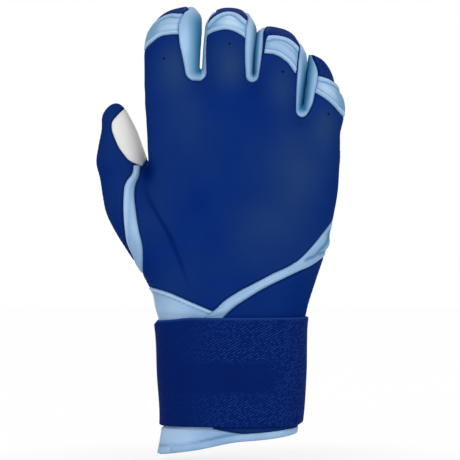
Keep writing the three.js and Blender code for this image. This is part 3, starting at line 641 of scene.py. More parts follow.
# Crumbs that a seam leaves on its wrong side go to the panel they lie in.
a, b, sides, _ = edge_pairs(skin_faces, len(skin))
order = np.argsort(sides.reshape(-1), kind="stable")
edge_face = np.full((len(a), 2), -1)
edge_slots = sides.reshape(-1)[order]
first_use = np.r_[True, edge_slots[1:] != edge_slots[:-1]]
edge_face[edge_slots[first_use], 0] = order[first_use] // 3
edge_face[edge_slots[~first_use], 1] = order[~first_use] // 3
joined = edge_face[(edge_face >= 0).all(1)]
island = np.arange(len(skin_faces))
same = joined[panel_of[joined[:, 0]] == panel_of[joined[:, 1]]]
while True:
    lowest = np.minimum(island[same[:, 0]], island[same[:, 1]])
    before = island.copy()
    np.minimum.at(island, same[:, 0], lowest)
    np.minimum.at(island, same[:, 1], lowest)
    island = island[island]
    if (island == before).all():
        break
for crumb in np.unique(island):
    faces_here = island == crumb
    if faces_here.sum() < crumb_faces and faces_here.sum() < (panel_of == panel_of[crumb]).sum() / 2:
        touching = joined[faces_here[joined[:, 0]] != faces_here[joined[:, 1]]].reshape(-1)
        around = panel_of[touching[~faces_here[touching]]]
        if len(around):
            names, counts = np.unique(around, return_counts=True)
            panel_of[faces_here] = names[np.argmax(counts)]
skin_edge_keys = a.astype(np.int64) * len(skin) + b

# Back panel: one piece of thin blue synthetic leather over the back of the hand and the lower fingers. Its
# edges are turned under and sewn, so they roll down into the seams, and it creases beside the thumb.
def linear(colour):
    parts = [int(colour[k:k + 2], 16) / 255 for k in (1, 3, 5)]
    return tuple(c / 12.92 if c <= 0.04045 else ((c + 0.055) / 1.055) ** 2.4 for c in parts) + (1.0,)


def connect(tree, node, inputs):
    """Sets a node's inputs to values, or links them to sockets. A node stands for its first output in use."""
    for key, entry in inputs.items():
        if isinstance(entry, bpy.types.Node):
            entry = next(socket for socket in entry.outputs if socket.enabled)
        if isinstance(entry, bpy.types.NodeSocket):
            tree.links.new(entry, node.inputs[key])
        else:
            node.inputs[key].default_value = entry


def add(tree, kind, inputs=None, **settings):
    node = tree.nodes.new(kind)
    for key, setting in settings.items():
        setattr(node, key, setting)
    connect(tree, node, inputs or {})
    return node


def new_material(name):
    material = bpy.data.materials.new(name)
    material.use_nodes = True
    return material, material.node_tree, material.node_tree.nodes["Principled BSDF"]


def leather(name, body, pale, dark, grain, roughness):
    """Coated leather: fine pebble grain and slow drifts of tone, with painted highlights and painted shade from the
    painted light attribute, and painted shade towards its seams.
    """
    material, tree, shader = new_material(name)
    place = add(tree, "ShaderNodeTexCoord").outputs["Object"]
    worn = add(tree, "ShaderNodeAttribute", attribute_name="worn").outputs["Fac"]
    edge = add(tree, "ShaderNodeAttribute", attribute_name="edge").outputs["Fac"]
    # Painted shade: darker within 1.5 mm of a sewn edge, where the rolled edge sinks into the seam, and darker still
    # where the painted light attribute is below nought.
    near = add(tree, "ShaderNodeMapRange", {0: edge, 1: 0.0, 2: 1.5, 3: 0.4, 4: 0.0})
    deep = add(tree, "ShaderNodeMath", {0: worn, 1: -1.0}, operation="MULTIPLY")
    near = add(tree, "ShaderNodeMath", {0: near, 1: deep}, operation="MAXIMUM", use_clamp=True)
    drift = add(tree, "ShaderNodeTexNoise", {"Vector": place, "Scale": 1000 / 38, "Detail": 2.0})
    drift = add(tree, "ShaderNodeMapRange", {0: drift, 1: 0.35, 2: 0.72, 3: 0.0, 4: 0.35})
    # Painted highlight: paler where the painted light attribute is above nought, on top of the random drift.
    share = add(tree, "ShaderNodeMath", {0: drift, 1: worn}, operation="ADD", use_clamp=True)
    tone = add(tree, "ShaderNodeMix", {0: share, 6: linear(body), 7: linear(pale)}, data_type="RGBA")
    tone = add(tree, "ShaderNodeMix", {0: near, 6: tone, 7: linear(dark)}, data_type="RGBA")
    pebble = add(tree, "ShaderNodeTexVoronoi", {"Vector": place, "Scale": 1000 / grain})
    wrinkle = add(tree, "ShaderNodeTexNoise", {"Vector": place, "Scale": 1000 / (6 * grain), "Detail": 3.0})
    height = add(tree, "ShaderNodeMath", {0: pebble, 1: wrinkle}, operation="ADD")
    bump = add(tree, "ShaderNodeBump", {"Height": height, "Strength": 0.22, "Distance": grain * 0.00018})
    rough = add(tree, "ShaderNodeMapRange", {0: wrinkle, 1: 0.3, 2: 0.7, 3: roughness - 0.05, 4: roughness + 0.07})
    connect(tree, shader, {"Base Color": tone, "Roughness": rough, "Normal": bump, "Specular IOR Level": 0.004})
    return material


# Its paler tone serves the random drifts and the painted highlights, its darkest the painted shade in seams, creases
# and the thumb's crotch.
blue_leather = leather("blue_synthetic_leather", "#042873", "#233f6e", "#001448", 0.85, 0.7)


def nearest_distance(points, targets):
    tree = kdtree.KDTree(len(targets))
    for k, target in enumerate(targets):
        tree.insert(target, k)
    tree.balance()
    return np.array([tree.find(point)[2] for point in points])


def mesh_piece(name, points, faces, material, sharp_angle=55, **attributes):
    mesh = bpy.data.meshes.new(name)
    mesh.from_pydata((points * 0.001).tolist(), [], faces if isinstance(faces, list) else faces.tolist())
    mesh.shade_smooth()
    mesh.set_sharp_from_angle(angle=math.radians(sharp_angle))
    for key, entries in attributes.items():
        mesh.attributes.new(key, "FLOAT", "POINT").data.foreach_set("value", np.asarray(entries, np.float32))
    mesh.materials.append(material)
    piece = bpy.data.objects.new(name, mesh)
    bpy.context.scene.collection.objects.link(piece)
    return piece


def mark(piece, slot, *nodes):
    """Hides the CAD parts that a piece stands for, named by nodes; slot is not used."""
    if nodes:
        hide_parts(*nodes)


def panel_patch(label, butts=(), finer=0, levels=()):
    """A panel's points and triangles, how far each point is from its sewn edge, and its edge points by neighbour."""
    used, faces = np.unique(skin_faces[panel_of == label], return_inverse=True)
    faces = faces.reshape(-1, 3)
    points = skin[used]
    first, second, _, uses = edge_pairs(faces, len(points))
    rim = uses == 1
    first, second = first[rim], second[rim]
    keys = np.minimum(used[first], used[second]).astype(np.int64) * len(skin) + np.maximum(used[first], used[second])
    beside = edge_face[np.searchsorted(skin_edge_keys, keys)]
    labels = np.where(beside >= 0, panel_of[beside], "cut_away")
    neighbour = np.where(labels[:, 0] == label, labels[:, 1], labels[:, 0])
    rims = {}
    for other in np.unique(neighbour):
        mine = neighbour == other
        a, b = points[first[mine]], points[second[mine]]
        rims[str(other)] = np.concatenate([a, (a + b) / 2, b])
    edge_points = np.concatenate([rims[key] for key in rims if key not in butts])
    marks = nearest_distance(points, edge_points)[:, None]
    for _ in range(finer):
        a, b, sides, _ = edge_pairs(faces, len(points))
        middle = sides + len(points)
        points = np.concatenate([points, (points[a] + points[b]) / 2])
        marks = np.concatenate([marks, (marks[a] + marks[b]) / 2])
        corners = [np.stack([faces[:, k], middle[:, k], middle[:, k - 1]], 1) for k in range(3)]
        faces = np.concatenate([*corners, middle])
        points = settle(points, 1)
        marks = nearest_distance(points, edge_points)[:, None]
    free = marks[:, 0] > 1e-6
    for level in levels:
        marks[:, 0] -= level
        points, marks, faces, free = cut_along(points, marks, faces, 0, free)
        marks[:, 0] += level
    return points, faces, marks[:, 0], rims


sewn = {}


def sew_panel(name, label, material, lift=0.25, roll=1.2, drop=0.45, thick=1.3, butts=(), finer=0,
              relief=None, worn=None):
    """A closed panel: the outside with its rolled edge, an inside below it, and a wall round its edge."""
    points, faces, edge, rims = panel_patch(label, butts, finer, (0.3 * roll, roll))
    normals = hand_normals(points)
    share = 1 - np.clip(edge / roll, 0, 1)
    height = lift - drop * (1 - np.sqrt(1 - share * share))
    if relief is not None:
        height = height + relief(points, edge, rims) * ease(edge, 0, 0.8 * roll)
    ends = np.concatenate([faces[:, [0, 1]], faces[:, [1, 2]], faces[:, [2, 0]]])
    _, _, sides, uses = edge_pairs(faces, len(points))
    rim = ends[(uses[sides.T.reshape(-1)] == 1)]
    inward = np.zeros_like(points)
    middle = points[faces].mean(1)
    for k in range(3):
        np.add.at(inward, faces[:, k], middle - points[faces[:, k]])
    inward = inward - normals * (inward * normals).sum(1, keepdims=True)
    inward = inward / np.maximum(np.linalg.norm(inward, axis=1, keepdims=True), 1e-9)
    on_rim = np.zeros(len(points), bool)
    on_rim[rim.reshape(-1)] = True
    base = points + inward * np.where(on_rim & (edge < 1e-6), 0.07, 0)[:, None]
    outer, inner = base + normals * height[:, None], base - normals * thick
    count = len(points)
    wall_a = np.stack([rim[:, 1], rim[:, 0], rim[:, 0] + count], 1)
    wall_b = np.stack([rim[:, 1], rim[:, 0] + count, rim[:, 1] + count], 1)
    all_faces = np.concatenate([faces, faces[:, ::-1] + count, wall_a, wall_b])
    # Painted light and shade for the panel's material to mix into its colour, nought where none is given.
    tone = np.zeros(count) if worn is None else worn(points, edge, rims)
    sewn[name] = (outer, faces, edge, points, rims)
    both = np.concatenate([outer, inner])
    return mesh_piece(name, both, all_faces, material, edge=np.tile(edge, 2), worn=np.tile(tone, 2))


crease_line = np.array([[-42.3, 121.3], [-36.5, 109.5], [-29.4, 97.8], [-24, 85], [-19.5, 71.9]])


def beside_line(points, line):
    flat = points[:, [0, 2]]
    best, side, along = np.full(len(points), np.inf), np.zeros(len(points)), np.zeros(len(points))
    for k, (a, b) in enumerate(zip(line, line[1:])):
        run = b - a
        share = np.clip(((flat - a) @ run) / (run @ run), 0, 1)
        gap = flat - a - share[:, None] * run
        far = np.linalg.norm(gap, axis=1)
        nearer = far < best
        best = np.where(nearer, far, best)
        side = np.where(nearer, np.sign(run[0] * gap[:, 1] - run[1] * gap[:, 0]) * far, side)
        along = np.where(nearer, (k + share) / (len(line) - 1), along)
    return side, along


def back_relief(points, edge, rims):
    x, _, z = points.T
    side, along = beside_line(points, crease_line)
    fade = np.sin(np.pi * np.clip(along, 0.02, 0.98)) ** 0.7
    crease = fade * (0.3 * np.exp(-((side - 1.8) / 1.6) ** 2) - 0.7 * np.exp(-(side / 1.0) ** 2))
    swell = 0.35 * np.sin(x / 9.5 + z / 23) * np.sin(z / 17 - 1)
    return crease + swell


# Painted light on the back panel: painted highlights on the knuckles and the fullest parts of the back, painted shadow
# in the crotch beside the thumb, and painted shade down the crease beside the thumb.
def back_worn(points, edge, rims):
    x, y, z = points.T
    spots = [(0.6, 31, 12, 128, 24), (0.45, 12, 16, 100, 16), (0.35, -22, 9, 152, 16)]
    spots += [(0.65, finger["x"] + 1, 6.5, finger["z"] - 14, 11) for finger in finger_forms.values()]
    tone = sum(a * np.exp(-((x - mid_x) / wide) ** 2 - ((z - mid_z) / high) ** 2)
               for a, mid_x, wide, mid_z, high in spots)
    crotch = np.exp(-((x + 39) / 3) ** 2 - ((z - 127.5) / 4.5) ** 2)
    side, along = beside_line(points, crease_line)
    crease = np.sin(np.pi * np.clip(along, 0, 1)) * np.exp(-(side / 0.8) ** 2)
    return tone * (y < 0) * (1 - crease) - np.maximum(0.8 * crotch, 0.35 * crease * (y < 0))


back_panel = sew_panel("back_leather", "back", blue_leather, relief=back_relief, worn=back_worn)
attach(back_panel, "hand")
mark(back_panel, "blue_leather", "back_panel")

# Perforations: one small hole is punched through the back leather below each knuckle panel. Each is drawn as a small
# dark plug with a sloped rim, its dark a painted shade for the inside of the hole.
def node_group(name, **inputs):
    tree = bpy.data.node_groups.new(name, "GeometryNodeTree")
    for key, kind in dict(Geometry="Geometry", **inputs).items():
        tree.interface.new_socket(key, in_out="INPUT", socket_type=f"NodeSocket{kind}")
    tree.interface.new_socket("Geometry", in_out="OUTPUT", socket_type="NodeSocketGeometry")
    return tree, add(tree, "NodeGroupInput").outputs


def punched_hole():
    tree, given = node_group("punched_hole", Width="Float", Rim="Float", Inside="Material")
    radius = add(tree, "ShaderNodeMath", {0: given["Width"], 1: 0.5}, operation="MULTIPLY")
    outer = add(tree, "ShaderNodeMath", {0: radius, 1: given["Rim"]}, operation="ADD")
    sizes = {"Vertices": 14, "Radius Top": radius, "Radius Bottom": outer, "Depth": given["Rim"]}
    plug = add(tree, "GeometryNodeMeshCone", sizes).outputs["Mesh"]
    outward = add(tree, "GeometryNodeInputNamedAttribute", {"Name": "outward"}, data_type="FLOAT_VECTOR")
    turned = add(tree, "FunctionNodeAlignRotationToVector", {"Vector": outward.outputs["Attribute"]}, axis="Z")
    places = {"Points": given["Geometry"], "Instance": plug, "Rotation": turned}
    whole = add(tree, "GeometryNodeRealizeInstances", {0: add(tree, "GeometryNodeInstanceOnPoints", places)})
    done = add(tree, "GeometryNodeSetMaterial", {"Geometry": whole, "Material": given["Inside"]})
    add(tree, "NodeGroupOutput", {0: done})
    return tree


def grown_mesh(name, line, tree, **inputs):
    """Runs a node tree on a mesh of points or lines, and keeps what it makes as a plain mesh."""
    holder = bpy.data.objects.new(f"{name}_line", line)
    bpy.context.scene.collection.objects.link(holder)
    grown = holder.modifiers.new("grown", "NODES")
    grown.node_group = tree
    for socket in tree.interface.items_tree:
        if socket.in_out == "INPUT" and socket.name in inputs:
            grown[socket.identifier] = inputs[socket.name]
    bpy.context.view_layer.update()
    mesh = bpy.data.meshes.new_from_object(holder.evaluated_get(bpy.context.evaluated_depsgraph_get()))
    holder.modifiers.clear()
    bpy.data.objects.remove(holder)
    mesh.name = name
    piece = bpy.data.objects.new(name, mesh)
    bpy.context.scene.collection.objects.link(piece)
    return piece


# Painted shade: a near-black leather for the plug that stands for the shadowed inside of each hole.
hole_shade = leather("hole_shade_leather", "#020c2e", "#0a1a44", "#010618", 0.85, 0.8)
hole_places = np.array([[-31.5, 179.6], [-0.9, 186.6], [23.9, 173.4], [45.2, 153.5]])
outer, _, _, points, _ = sewn["back_leather"]
hole_points, hole_normals = [], []
for place in hole_places:
    far = np.hypot(*(outer[:, [0, 2]] - place).T) + 100 * (outer[:, 1] > 0)
    near = int(np.argmin(far))
    normal = hand_normals(points[near:near + 1])[0]
    step = place - outer[near, [0, 2]]
    y = outer[near, 1] - (normal[0] * step[0] + normal[2] * step[1]) / normal[1]
    hole_points.append(np.array([place[0], y, place[1]]) - 0.08 * normal)
    hole_normals.append(normal)
hole_line = bpy.data.meshes.new("hole_places")
hole_line.from_pydata((np.array(hole_points) * 0.001).tolist(), [], [])
outward = hole_line.attributes.new("outward", "FLOAT_VECTOR", "POINT")
outward.data.foreach_set("vector", np.array(hole_normals, np.float32).reshape(-1))
holes = grown_mesh("back_perforations", hole_line, punched_hole(), Width=0.0009, Rim=0.00015, Inside=hole_shade)
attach(holes, "hand")
mark(holes, "blue_leather")

# Palm: soft white sheepskin over the palm side, cut in one with the fronts of the lower fingers and wrapped on
# to the sides of the hand, where it is sewn to the blue back.
# Its darkest tone is the painted shade in the seams and the palm's creases.
white_leather = leather("white_sheepskin", "#eeeeea", "#f6f6f3", "#b8bbc2", 1.1, 0.65)
palm_creases = []
for turns in ([[-33, 124], [-22, 117], [-13, 106], [-9, 92], [-10, 77]],
              [[-33, 119], [-18, 114], [2, 109], [20, 104], [33, 95]],
              [[46, 123], [28, 120], [10, 124], [-6, 135]]):
    steps = np.linspace(0, len(turns) - 1, 22)
    palm_creases.append(np.stack([smooth_curve(steps, range(len(turns)), column) for column in zip(*turns)], 1))


def palm_folds(points):
    """How deep in a fold of the palm a point is, and how far up on the swell beside one."""
    depth, swell = np.zeros(len(points)), np.zeros(len(points))
    for line in palm_creases:
        side, along = beside_line(points, line)
        fade = np.sin(np.pi * np.clip(along, 0.03, 0.97)) ** 0.6 * (points[:, 1] > 0)
        depth = np.maximum(depth, fade * np.exp(-(side / 1.1) ** 2))
        swell = np.maximum(swell, fade * np.exp(-((np.abs(side) - 2.6) / 1.4) ** 2))
    return depth, swell


def palm_relief(points, edge, rims):
    x, y, z = points.T
    depth, swell = palm_folds(points)
    heart = 0.9 * np.exp(-((x - 3) / 22) ** 2 - ((z - 108) / 20) ** 2)
    folds = 0.4 * np.sin(z / 3.1 + 0.6 * np.sin(x / 7)) * np.exp(-((z - 138) / 7) ** 2) * (y > 0)
    slack = 0.3 * np.sin(x / 5.3 + z / 9) * np.sin(z / 6.1 - x / 17) * ease(y, 2, 10)
    return folds - heart * (y > 0) + slack + 0.25 * swell - 0.6 * depth


# Painted shade down in the palm's creases.
def palm_worn(points, edge, rims):
    return -0.3 * palm_folds(points)[0]


palm_butts = [*(f"{name}_front" for name in finger_names), "thumb_front"]
palm_panel = sew_panel("palm_leather", "palm", white_leather, butts=palm_butts, relief=palm_relief, worn=palm_worn)
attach(palm_panel, "hand")
mark(palm_panel, "white_leather", "palm_panel")

# Fingers: blue leather backs over the ends, white leather fronts, and stretch cloth between them: a hemmed
# panel over each knuckle and the walls between neighbours.
def stretch_cloth(name, body, pale, shade, rib):
    """Brushed stretch knit: fine ribs and a soft bloom at grazing light, with painted teal shade in the folds and
    towards the seams, and painted highlights where the painted light attribute is below nought.
    """
    material, tree, shader = new_material(name)
    place = add(tree, "ShaderNodeTexCoord").outputs["Object"]
    deep = add(tree, "ShaderNodeAttribute", attribute_name="worn").outputs["Fac"]
    edge = add(tree, "ShaderNodeAttribute", attribute_name="edge").outputs["Fac"]
    # Painted teal shade towards the seams and wherever the painted light attribute is above nought.
    near = add(tree, "ShaderNodeMapRange", {0: edge, 1: 0.0, 2: 1.3, 3: 0.35, 4: 0.0})
    shaded = add(tree, "ShaderNodeMath", {0: near, 1: deep}, operation="MAXIMUM", use_clamp=True)
    drift = add(tree, "ShaderNodeTexNoise", {"Vector": place, "Scale": 1000 / 16, "Detail": 2.0})
    drift = add(tree, "ShaderNodeMapRange", {0: drift, 1: 0.35, 2: 0.7, 3: 0.0, 4: 0.4})
    light = add(tree, "ShaderNodeMath", {0: drift, 1: deep}, operation="SUBTRACT", use_clamp=True)
    tone = add(tree, "ShaderNodeMix", {0: light, 6: linear(body), 7: linear(pale)}, data_type="RGBA")
    tone = add(tree, "ShaderNodeMix", {0: shaded, 6: tone, 7: linear(shade)}, data_type="RGBA")
    # A wave repeats every 0.314 of its scaled length, so this gives one rib in each rib width.
    wave = {"Vector": place, "Scale": 314 / rib, "Distortion": 0.6}
    ribs, courses = (add(tree, "ShaderNodeTexWave", wave, bands_direction=way).outputs["Fac"] for way in "XZ")
    knit = add(tree, "ShaderNodeMath", {0: ribs, 1: courses}, operation="MULTIPLY")
    bump = add(tree, "ShaderNodeBump", {"Height": knit, "Strength": 0.3, "Distance": 0.00015})
    matt = {"Roughness": 0.72, "Sheen Weight": 0.06, "Specular IOR Level": 0.15}
    connect(tree, shader, {"Base Color": tone, "Normal": bump, **matt})
    return material


# Its palest tone serves the random drifts and the painted highlights, its teal the painted shade.
knit_cloth = stretch_cloth("light_blue_stretch_knit", "#8fb4da", "#bcdaf7", "#15719d", 1.1)


def finger_blend(piece):
    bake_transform(piece)


def flex_distances(points, rims):
    low = nearest_distance(points, rims["back"])
    name = [key for key in rims if key.endswith("_tip")][0][:-4]
    finger, top = finger_forms[name], rims[f"{name}_tip"]
    across, along, _ = finger_place(top, finger)
    upper = along > smooth_curve(across + np.interp(along, *finger["sway"]), *flex_edges[name]["up"]) - 0.4
    return low, nearest_distance(points, top[upper])


def flex_ends(points):
    """How far across its knuckle a point is, from nought in the middle to 1 at either end."""
    number = finger_slot(points)
    middle = np.array([finger["x"] for finger in finger_forms.values()])[number] + 1
    width = np.array([finger["width"] for finger in finger_forms.values()])[number]
    return np.abs(points[:, 0] - middle) / (width / 2)


def flex_relief(points, edge, rims):
    """A turned hem along the lower and the upper edge, and a hollow with two soft folds between them."""
    low, high = flex_distances(points, rims)
    low_band = np.sqrt(np.clip(1 - ((low - 1.2) / 1.2) ** 2, 0, 1))
    high_band = np.sqrt(np.clip(1 - ((high - 1.5) / 1.5) ** 2, 0, 1))
    folds = 0.25 * np.sin(low * 1.3 + 1.2 * np.sin(points[:, 0] / 4.5)) * ease(low, 2.8, 5) * ease(high, 3.2, 5)
    out = flex_ends(points)
    relief = (np.maximum(1.1 * low_band, 1.2 * high_band) - 0.6) * (1 - 0.7 * ease(out, 0.75, 1.05)) + folds
    outer_side = ((points[:, 0] < slits[0] - 14) | (points[:, 0] > slits[2] + 9)) * ease(out, 0.6, 0.9)
    return relief * (1 - outer_side) + 0.4 * outer_side


def flex_shade(points, edge, rims):
    """Shade in the corner below each hem and at the ends of the hollow; light in its middle and on the hems."""
    low, high = flex_distances(points, rims)
    groove = 0.5 * np.exp(-((low - 2.6) / 0.4) ** 2) + 0.5 * np.exp(-((high - 3.3) / 0.45) ** 2)
    hollow = ease(low, 2.4, 3.6) * ease(high, 3.0, 4.2)
    out = flex_ends(points)
    bright = np.array([0.4, 0.85, 0.1, 0.5])[finger_slot(points)]
    light = hollow * bright * np.exp(-(out / 0.4) ** 2) + 0.3 * (low < 2.2) + 0.25 * (high < 2.7)
    return groove + hollow * 0.4 * ease(out, 0.4, 0.85) - light


def wall_depth(points):
    """How far round a finger a point of its wall is, from -1 on the back to 1 on the front."""
    depth = np.zeros(len(points))
    slot = finger_slot(points)
    for number, finger in enumerate(finger_forms.values()):
        mine = slot == number
        _, along, off = finger_place(points[mine], finger)
        depth[mine] = off / finger_half_sizes(along, finger)[1]
    return depth


def wall_relief(points, edge, rims):
    """Tubes of cloth: the ring finger's neighbours press on it, so those two slits close a little way in."""
    number, beside = nearest_slit(points)
    meeting = 0.35 * np.sin(points[:, 1] / 2.3)
    gap = np.maximum(np.where(beside < 0, meeting - beside, beside - meeting) - 0.05, 0)
    sideways = ease(np.abs(hand_normals(points)[:, 0]), 0.55, 0.9)
    closing = np.minimum(gap, 1.6) * sideways * (number > 0) * ease(wall_depth(points), -0.5, -0.15)
    full = np.where((number == 1) & (beside < 0), 0.9, 0.25)
    return np.maximum(closing, full * ease(edge, 0, 2.2))


def slit_shade(points, edge, rims):
    """Painted shade: each wall turns teal towards its slit, and is left light at the slit's foot and beside the middle
    finger, with a little painted light near its sewn edge.
    """
    z = points[:, 2]
    number, beside = nearest_slit(points)
    near = 1 - ease(np.abs(beside), 0.6, np.array([7.6, 2.9, 4.2])[number])
    near = near * ease(z - np.array(web_feet)[number], 1, 4.5)
    near = near * np.where(number == 0, (1 - 0.7 * ease(z, 196, 203)) * np.where(beside > 0, 0.2, 1), 1)
    return near - 0.25 * (1 - ease(edge, 0.6, 1.6)) * (edge > 0.5)


wall_nodes = {
    "index_ulnar": ["index_tip_ulnar_wall", "index_middle_fourchette"],
    "middle_radial": ["middle_tip_radial_wall"],
    "middle_ulnar": ["middle_tip_ulnar_wall", "middle_ring_fourchette"],
    "ring_radial": ["ring_tip_radial_wall"],
    "ring_ulnar": ["ring_tip_ulnar_wall", "ring_little_fourchette"],
    "little_radial": ["little_tip_radial_wall"],
}
wall_butts = [f"{name}_{side}" for name in finger_names for side in ("radial", "ulnar")]
for name in finger_names:
    flex = sew_panel(f"{name}_knuckle_cloth", f"{name}_flex", knit_cloth, lift=0.15, roll=0.9, drop=0.5, finer=1,
                     relief=flex_relief, worn=flex_shade)
    tip = sew_panel(f"{name}_end_back_leather", f"{name}_tip", blue_leather)
    front = sew_panel(f"{name}_end_front_leather", f"{name}_front", white_leather, butts=["palm"])
    pieces = [(flex, "stretch_cloth", [f"{name}_flex_panel"]), (tip, "blue_leather", [f"{name}_tip_back"]),
              (front, "white_leather", [f"{name}_tip_front"])]
    for side in ("radial", "ulnar"):
        if (name, side) in wall_lines:
            wall = sew_panel(f"{name}_{side}_wall_cloth", f"{name}_{side}", knit_cloth, lift=0.05, roll=1.0, drop=0.5,
                             thick=1.1, butts=wall_butts, relief=wall_relief, worn=slit_shade)
            pieces.append((wall, "stretch_cloth", wall_nodes[f"{name}_{side}"]))
    for piece, slot, nodes in pieces:
        finger_blend(piece)
        mark(piece, slot, *nodes)


def thumb_blend(piece):
    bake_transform(piece)


thumb_back = sew_panel("thumb_back_leather", "thumb_back", blue_leather)
thumb_blend(thumb_back)
mark(thumb_back, "blue_leather", "thumb_back", "thumb_tip_back")
thumb_front = sew_panel("thumb_end_leather", "thumb_front", white_leather, butts=["palm"])
thumb_blend(thumb_front)
mark(thumb_front, "white_leather", "thumb_tip_front")


def gusset_relief(points, edge, rims):
    return 0.5 * ease(edge, 0, 2.2)


def gusset_shade(points, edge, rims):
    """Painted light along the thumb's side of the strip, and faint painted shade down its middle."""
    side = nearest_distance(points, rims["thumb_back"])
    return 0.12 * np.exp(-((side - 3.2) / 1) ** 2) - 0.45 * np.exp(-((side - 1.1) / 0.9) ** 2)


thumb_gusset = sew_panel("thumb_gusset_cloth", "gusset", knit_cloth, lift=0.1, roll=1.0, drop=0.55,
                         relief=gusset_relief, worn=gusset_shade)
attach(thumb_gusset, "hand")
mark(thumb_gusset, "stretch_cloth", "thumb_gusset")

# Wrist: a light blue stretch cuff under the strap, a blue leather panel on the little finger's side, and a
# folded band of the same stretch cloth sewn on along the slanted edge of the back panel.
def cuff_relief(points, edge, rims):
    x, y, z = points.T
    turn = np.arctan2(y, x)
    folds = 0.5 + 0.35 * np.sin(turn * 21 + 0.7 * np.sin(z / 8)) + 0.2 * np.sin(turn * 34 + 1.3)
    under_strap = ease(z, strap_foot - 2, strap_foot) * (1 - ease(z, strap_top, strap_top + 3))
    hem = seam_line(x, v_left_line) - z
    band = 0.7 * np.sqrt(np.clip(1 - ((hem - 0.9) / 0.9) ** 2, 0, 1)) * (y < 0)
    ends = 0.9 * ease(x, -25, -31) - 1.0 * ease(x, 20, 30)
    rear = ease(y, 5, -5)
    below = rear * (0.4 * np.sin(x / 5.2 + 0.5) + 0.25 * np.sin(x / 2.4)) + (1 - rear) * (folds - 0.4) + ends * (z < 30)
    above = band + 0.25 * np.sin(x / 4 + z / 5)
    return np.where(z < strap_top, below * (1 - under_strap), above) - 0.4 * under_strap


def cuff_shade(points, edge, rims):
    """Light along the sewn edge under the back panel and on the fullest parts, shade in the crease above the hem."""
    x, y, z = points.T
    hem = seam_line(x, v_left_line) - z
    upper = 0.9 * np.exp(-((hem - 0.9) / 0.5) ** 2) - 0.25 * np.exp(-((hem - 2) / 0.4) ** 2)
    upper = upper + 0.1 * np.exp(-((x + 29) / 6) ** 2 - ((z - 64) / 4) ** 2)
    crease = z - mouth_height(x, y) - 3.4
    lower = 0.55 * np.exp(-((x + 22) / 8) ** 2) + 0.35 * np.exp(-((x - 14) / 7) ** 2)
    lower = lower - 0.5 * np.exp(-(crease / 0.7) ** 2)
    return np.where(z > 45, -upper * (y < 0), -lower * ease(y, 4, -6))


cuff = sew_panel("cuff_cloth", "cuff", knit_cloth, lift=0.0, roll=1.0, drop=0.5, butts=["cut_away"], relief=cuff_relief,
                 worn=cuff_shade)
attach(cuff, "hand")
mark(cuff, "stretch_cloth", "cuff")


def ulnar_relief(points, edge, rims):
    z = points[:, 2]
    return -0.45 * ease(z, strap_foot - 1, strap_foot + 1) * (1 - ease(z, strap_top - 1, strap_top + 1))


ulnar_panel = sew_panel("ulnar_wrist_leather", "ulnar", blue_leather, lift=0.2, relief=ulnar_relief)
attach(ulnar_panel, "hand")
mark(ulnar_panel, "blue_leather", "ulnar_wrist_panel")


trim_creases = [
    np.array([[32.5, 84.7], [35.2, 86.1], [37.7, 87], [39.6, 88.3], [42.6, 92.1], [44.9, 95.9], [45.8, 99]]),
    np.array([[39.6, 88.3], [41.3, 88.6], [43, 89.3], [45, 90.5]]),
]


def trim_folds(points):
    """How deep a point is in one of the two creases where the band bunches up at the side of the hand."""
    depth = np.zeros(len(points))
    for line in trim_creases:
        side, along = beside_line(points, line)
        depth = np.maximum(depth, ease(along, 0, 0.2) * np.exp(-(side / 0.75) ** 2))
    return depth


def trim_relief(points, edge, rims):
    x, _, z = points.T
    right = ease(x, 27, 38)
    crown = (1.2 - 1.0 * right) * np.sqrt(np.clip(1 - (1 - np.clip(edge / 2.4, 0, 1)) ** 2, 0, 1))
    top = seam_line(x, trim_top_line) - z
    fold = 0.25 * np.exp(-((top - 1.7) / 0.45) ** 2) * (1 - right)
    folds = 0.75 * np.exp(-((z - 93.5) / 3.2) ** 2) * ease(x, 40, 44) - 0.6 * trim_folds(points)
    tucked = ease(z, strap_top + 3.5, strap_top - 0.2)
    return (crown - fold + folds) * (1 - tucked) - 0.5 * tucked


def trim_shade(points, edge, rims):
    """Painted light on the upper edge, a faint painted shade line beside the fold, and painted teal shade in the
    creases where the band bunches up and at the top of them.
    """
    x, _, z = points.T
    right = ease(x, 27, 38)
    top = seam_line(x, trim_top_line) - z
    hollow = 0.25 * np.exp(-((x - 44.5) / 1.5) ** 2 - ((z - 98) / 3) ** 2)
    line = np.exp(-((top - 1.7) / 0.4) ** 2) * (1 - right)
    return 0.7 * trim_folds(points) + hollow + 0.12 * line - 0.4 * np.exp(-((top - 0.8) / 0.5) ** 2)


wrist_trim = sew_panel("trim_cloth", "trim", knit_cloth, lift=0.2, roll=1.2, drop=0.5, finer=1, relief=trim_relief,
                       worn=trim_shade)
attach(wrist_trim, "hand")
mark(wrist_trim, "stretch_cloth", "wrist_trim")

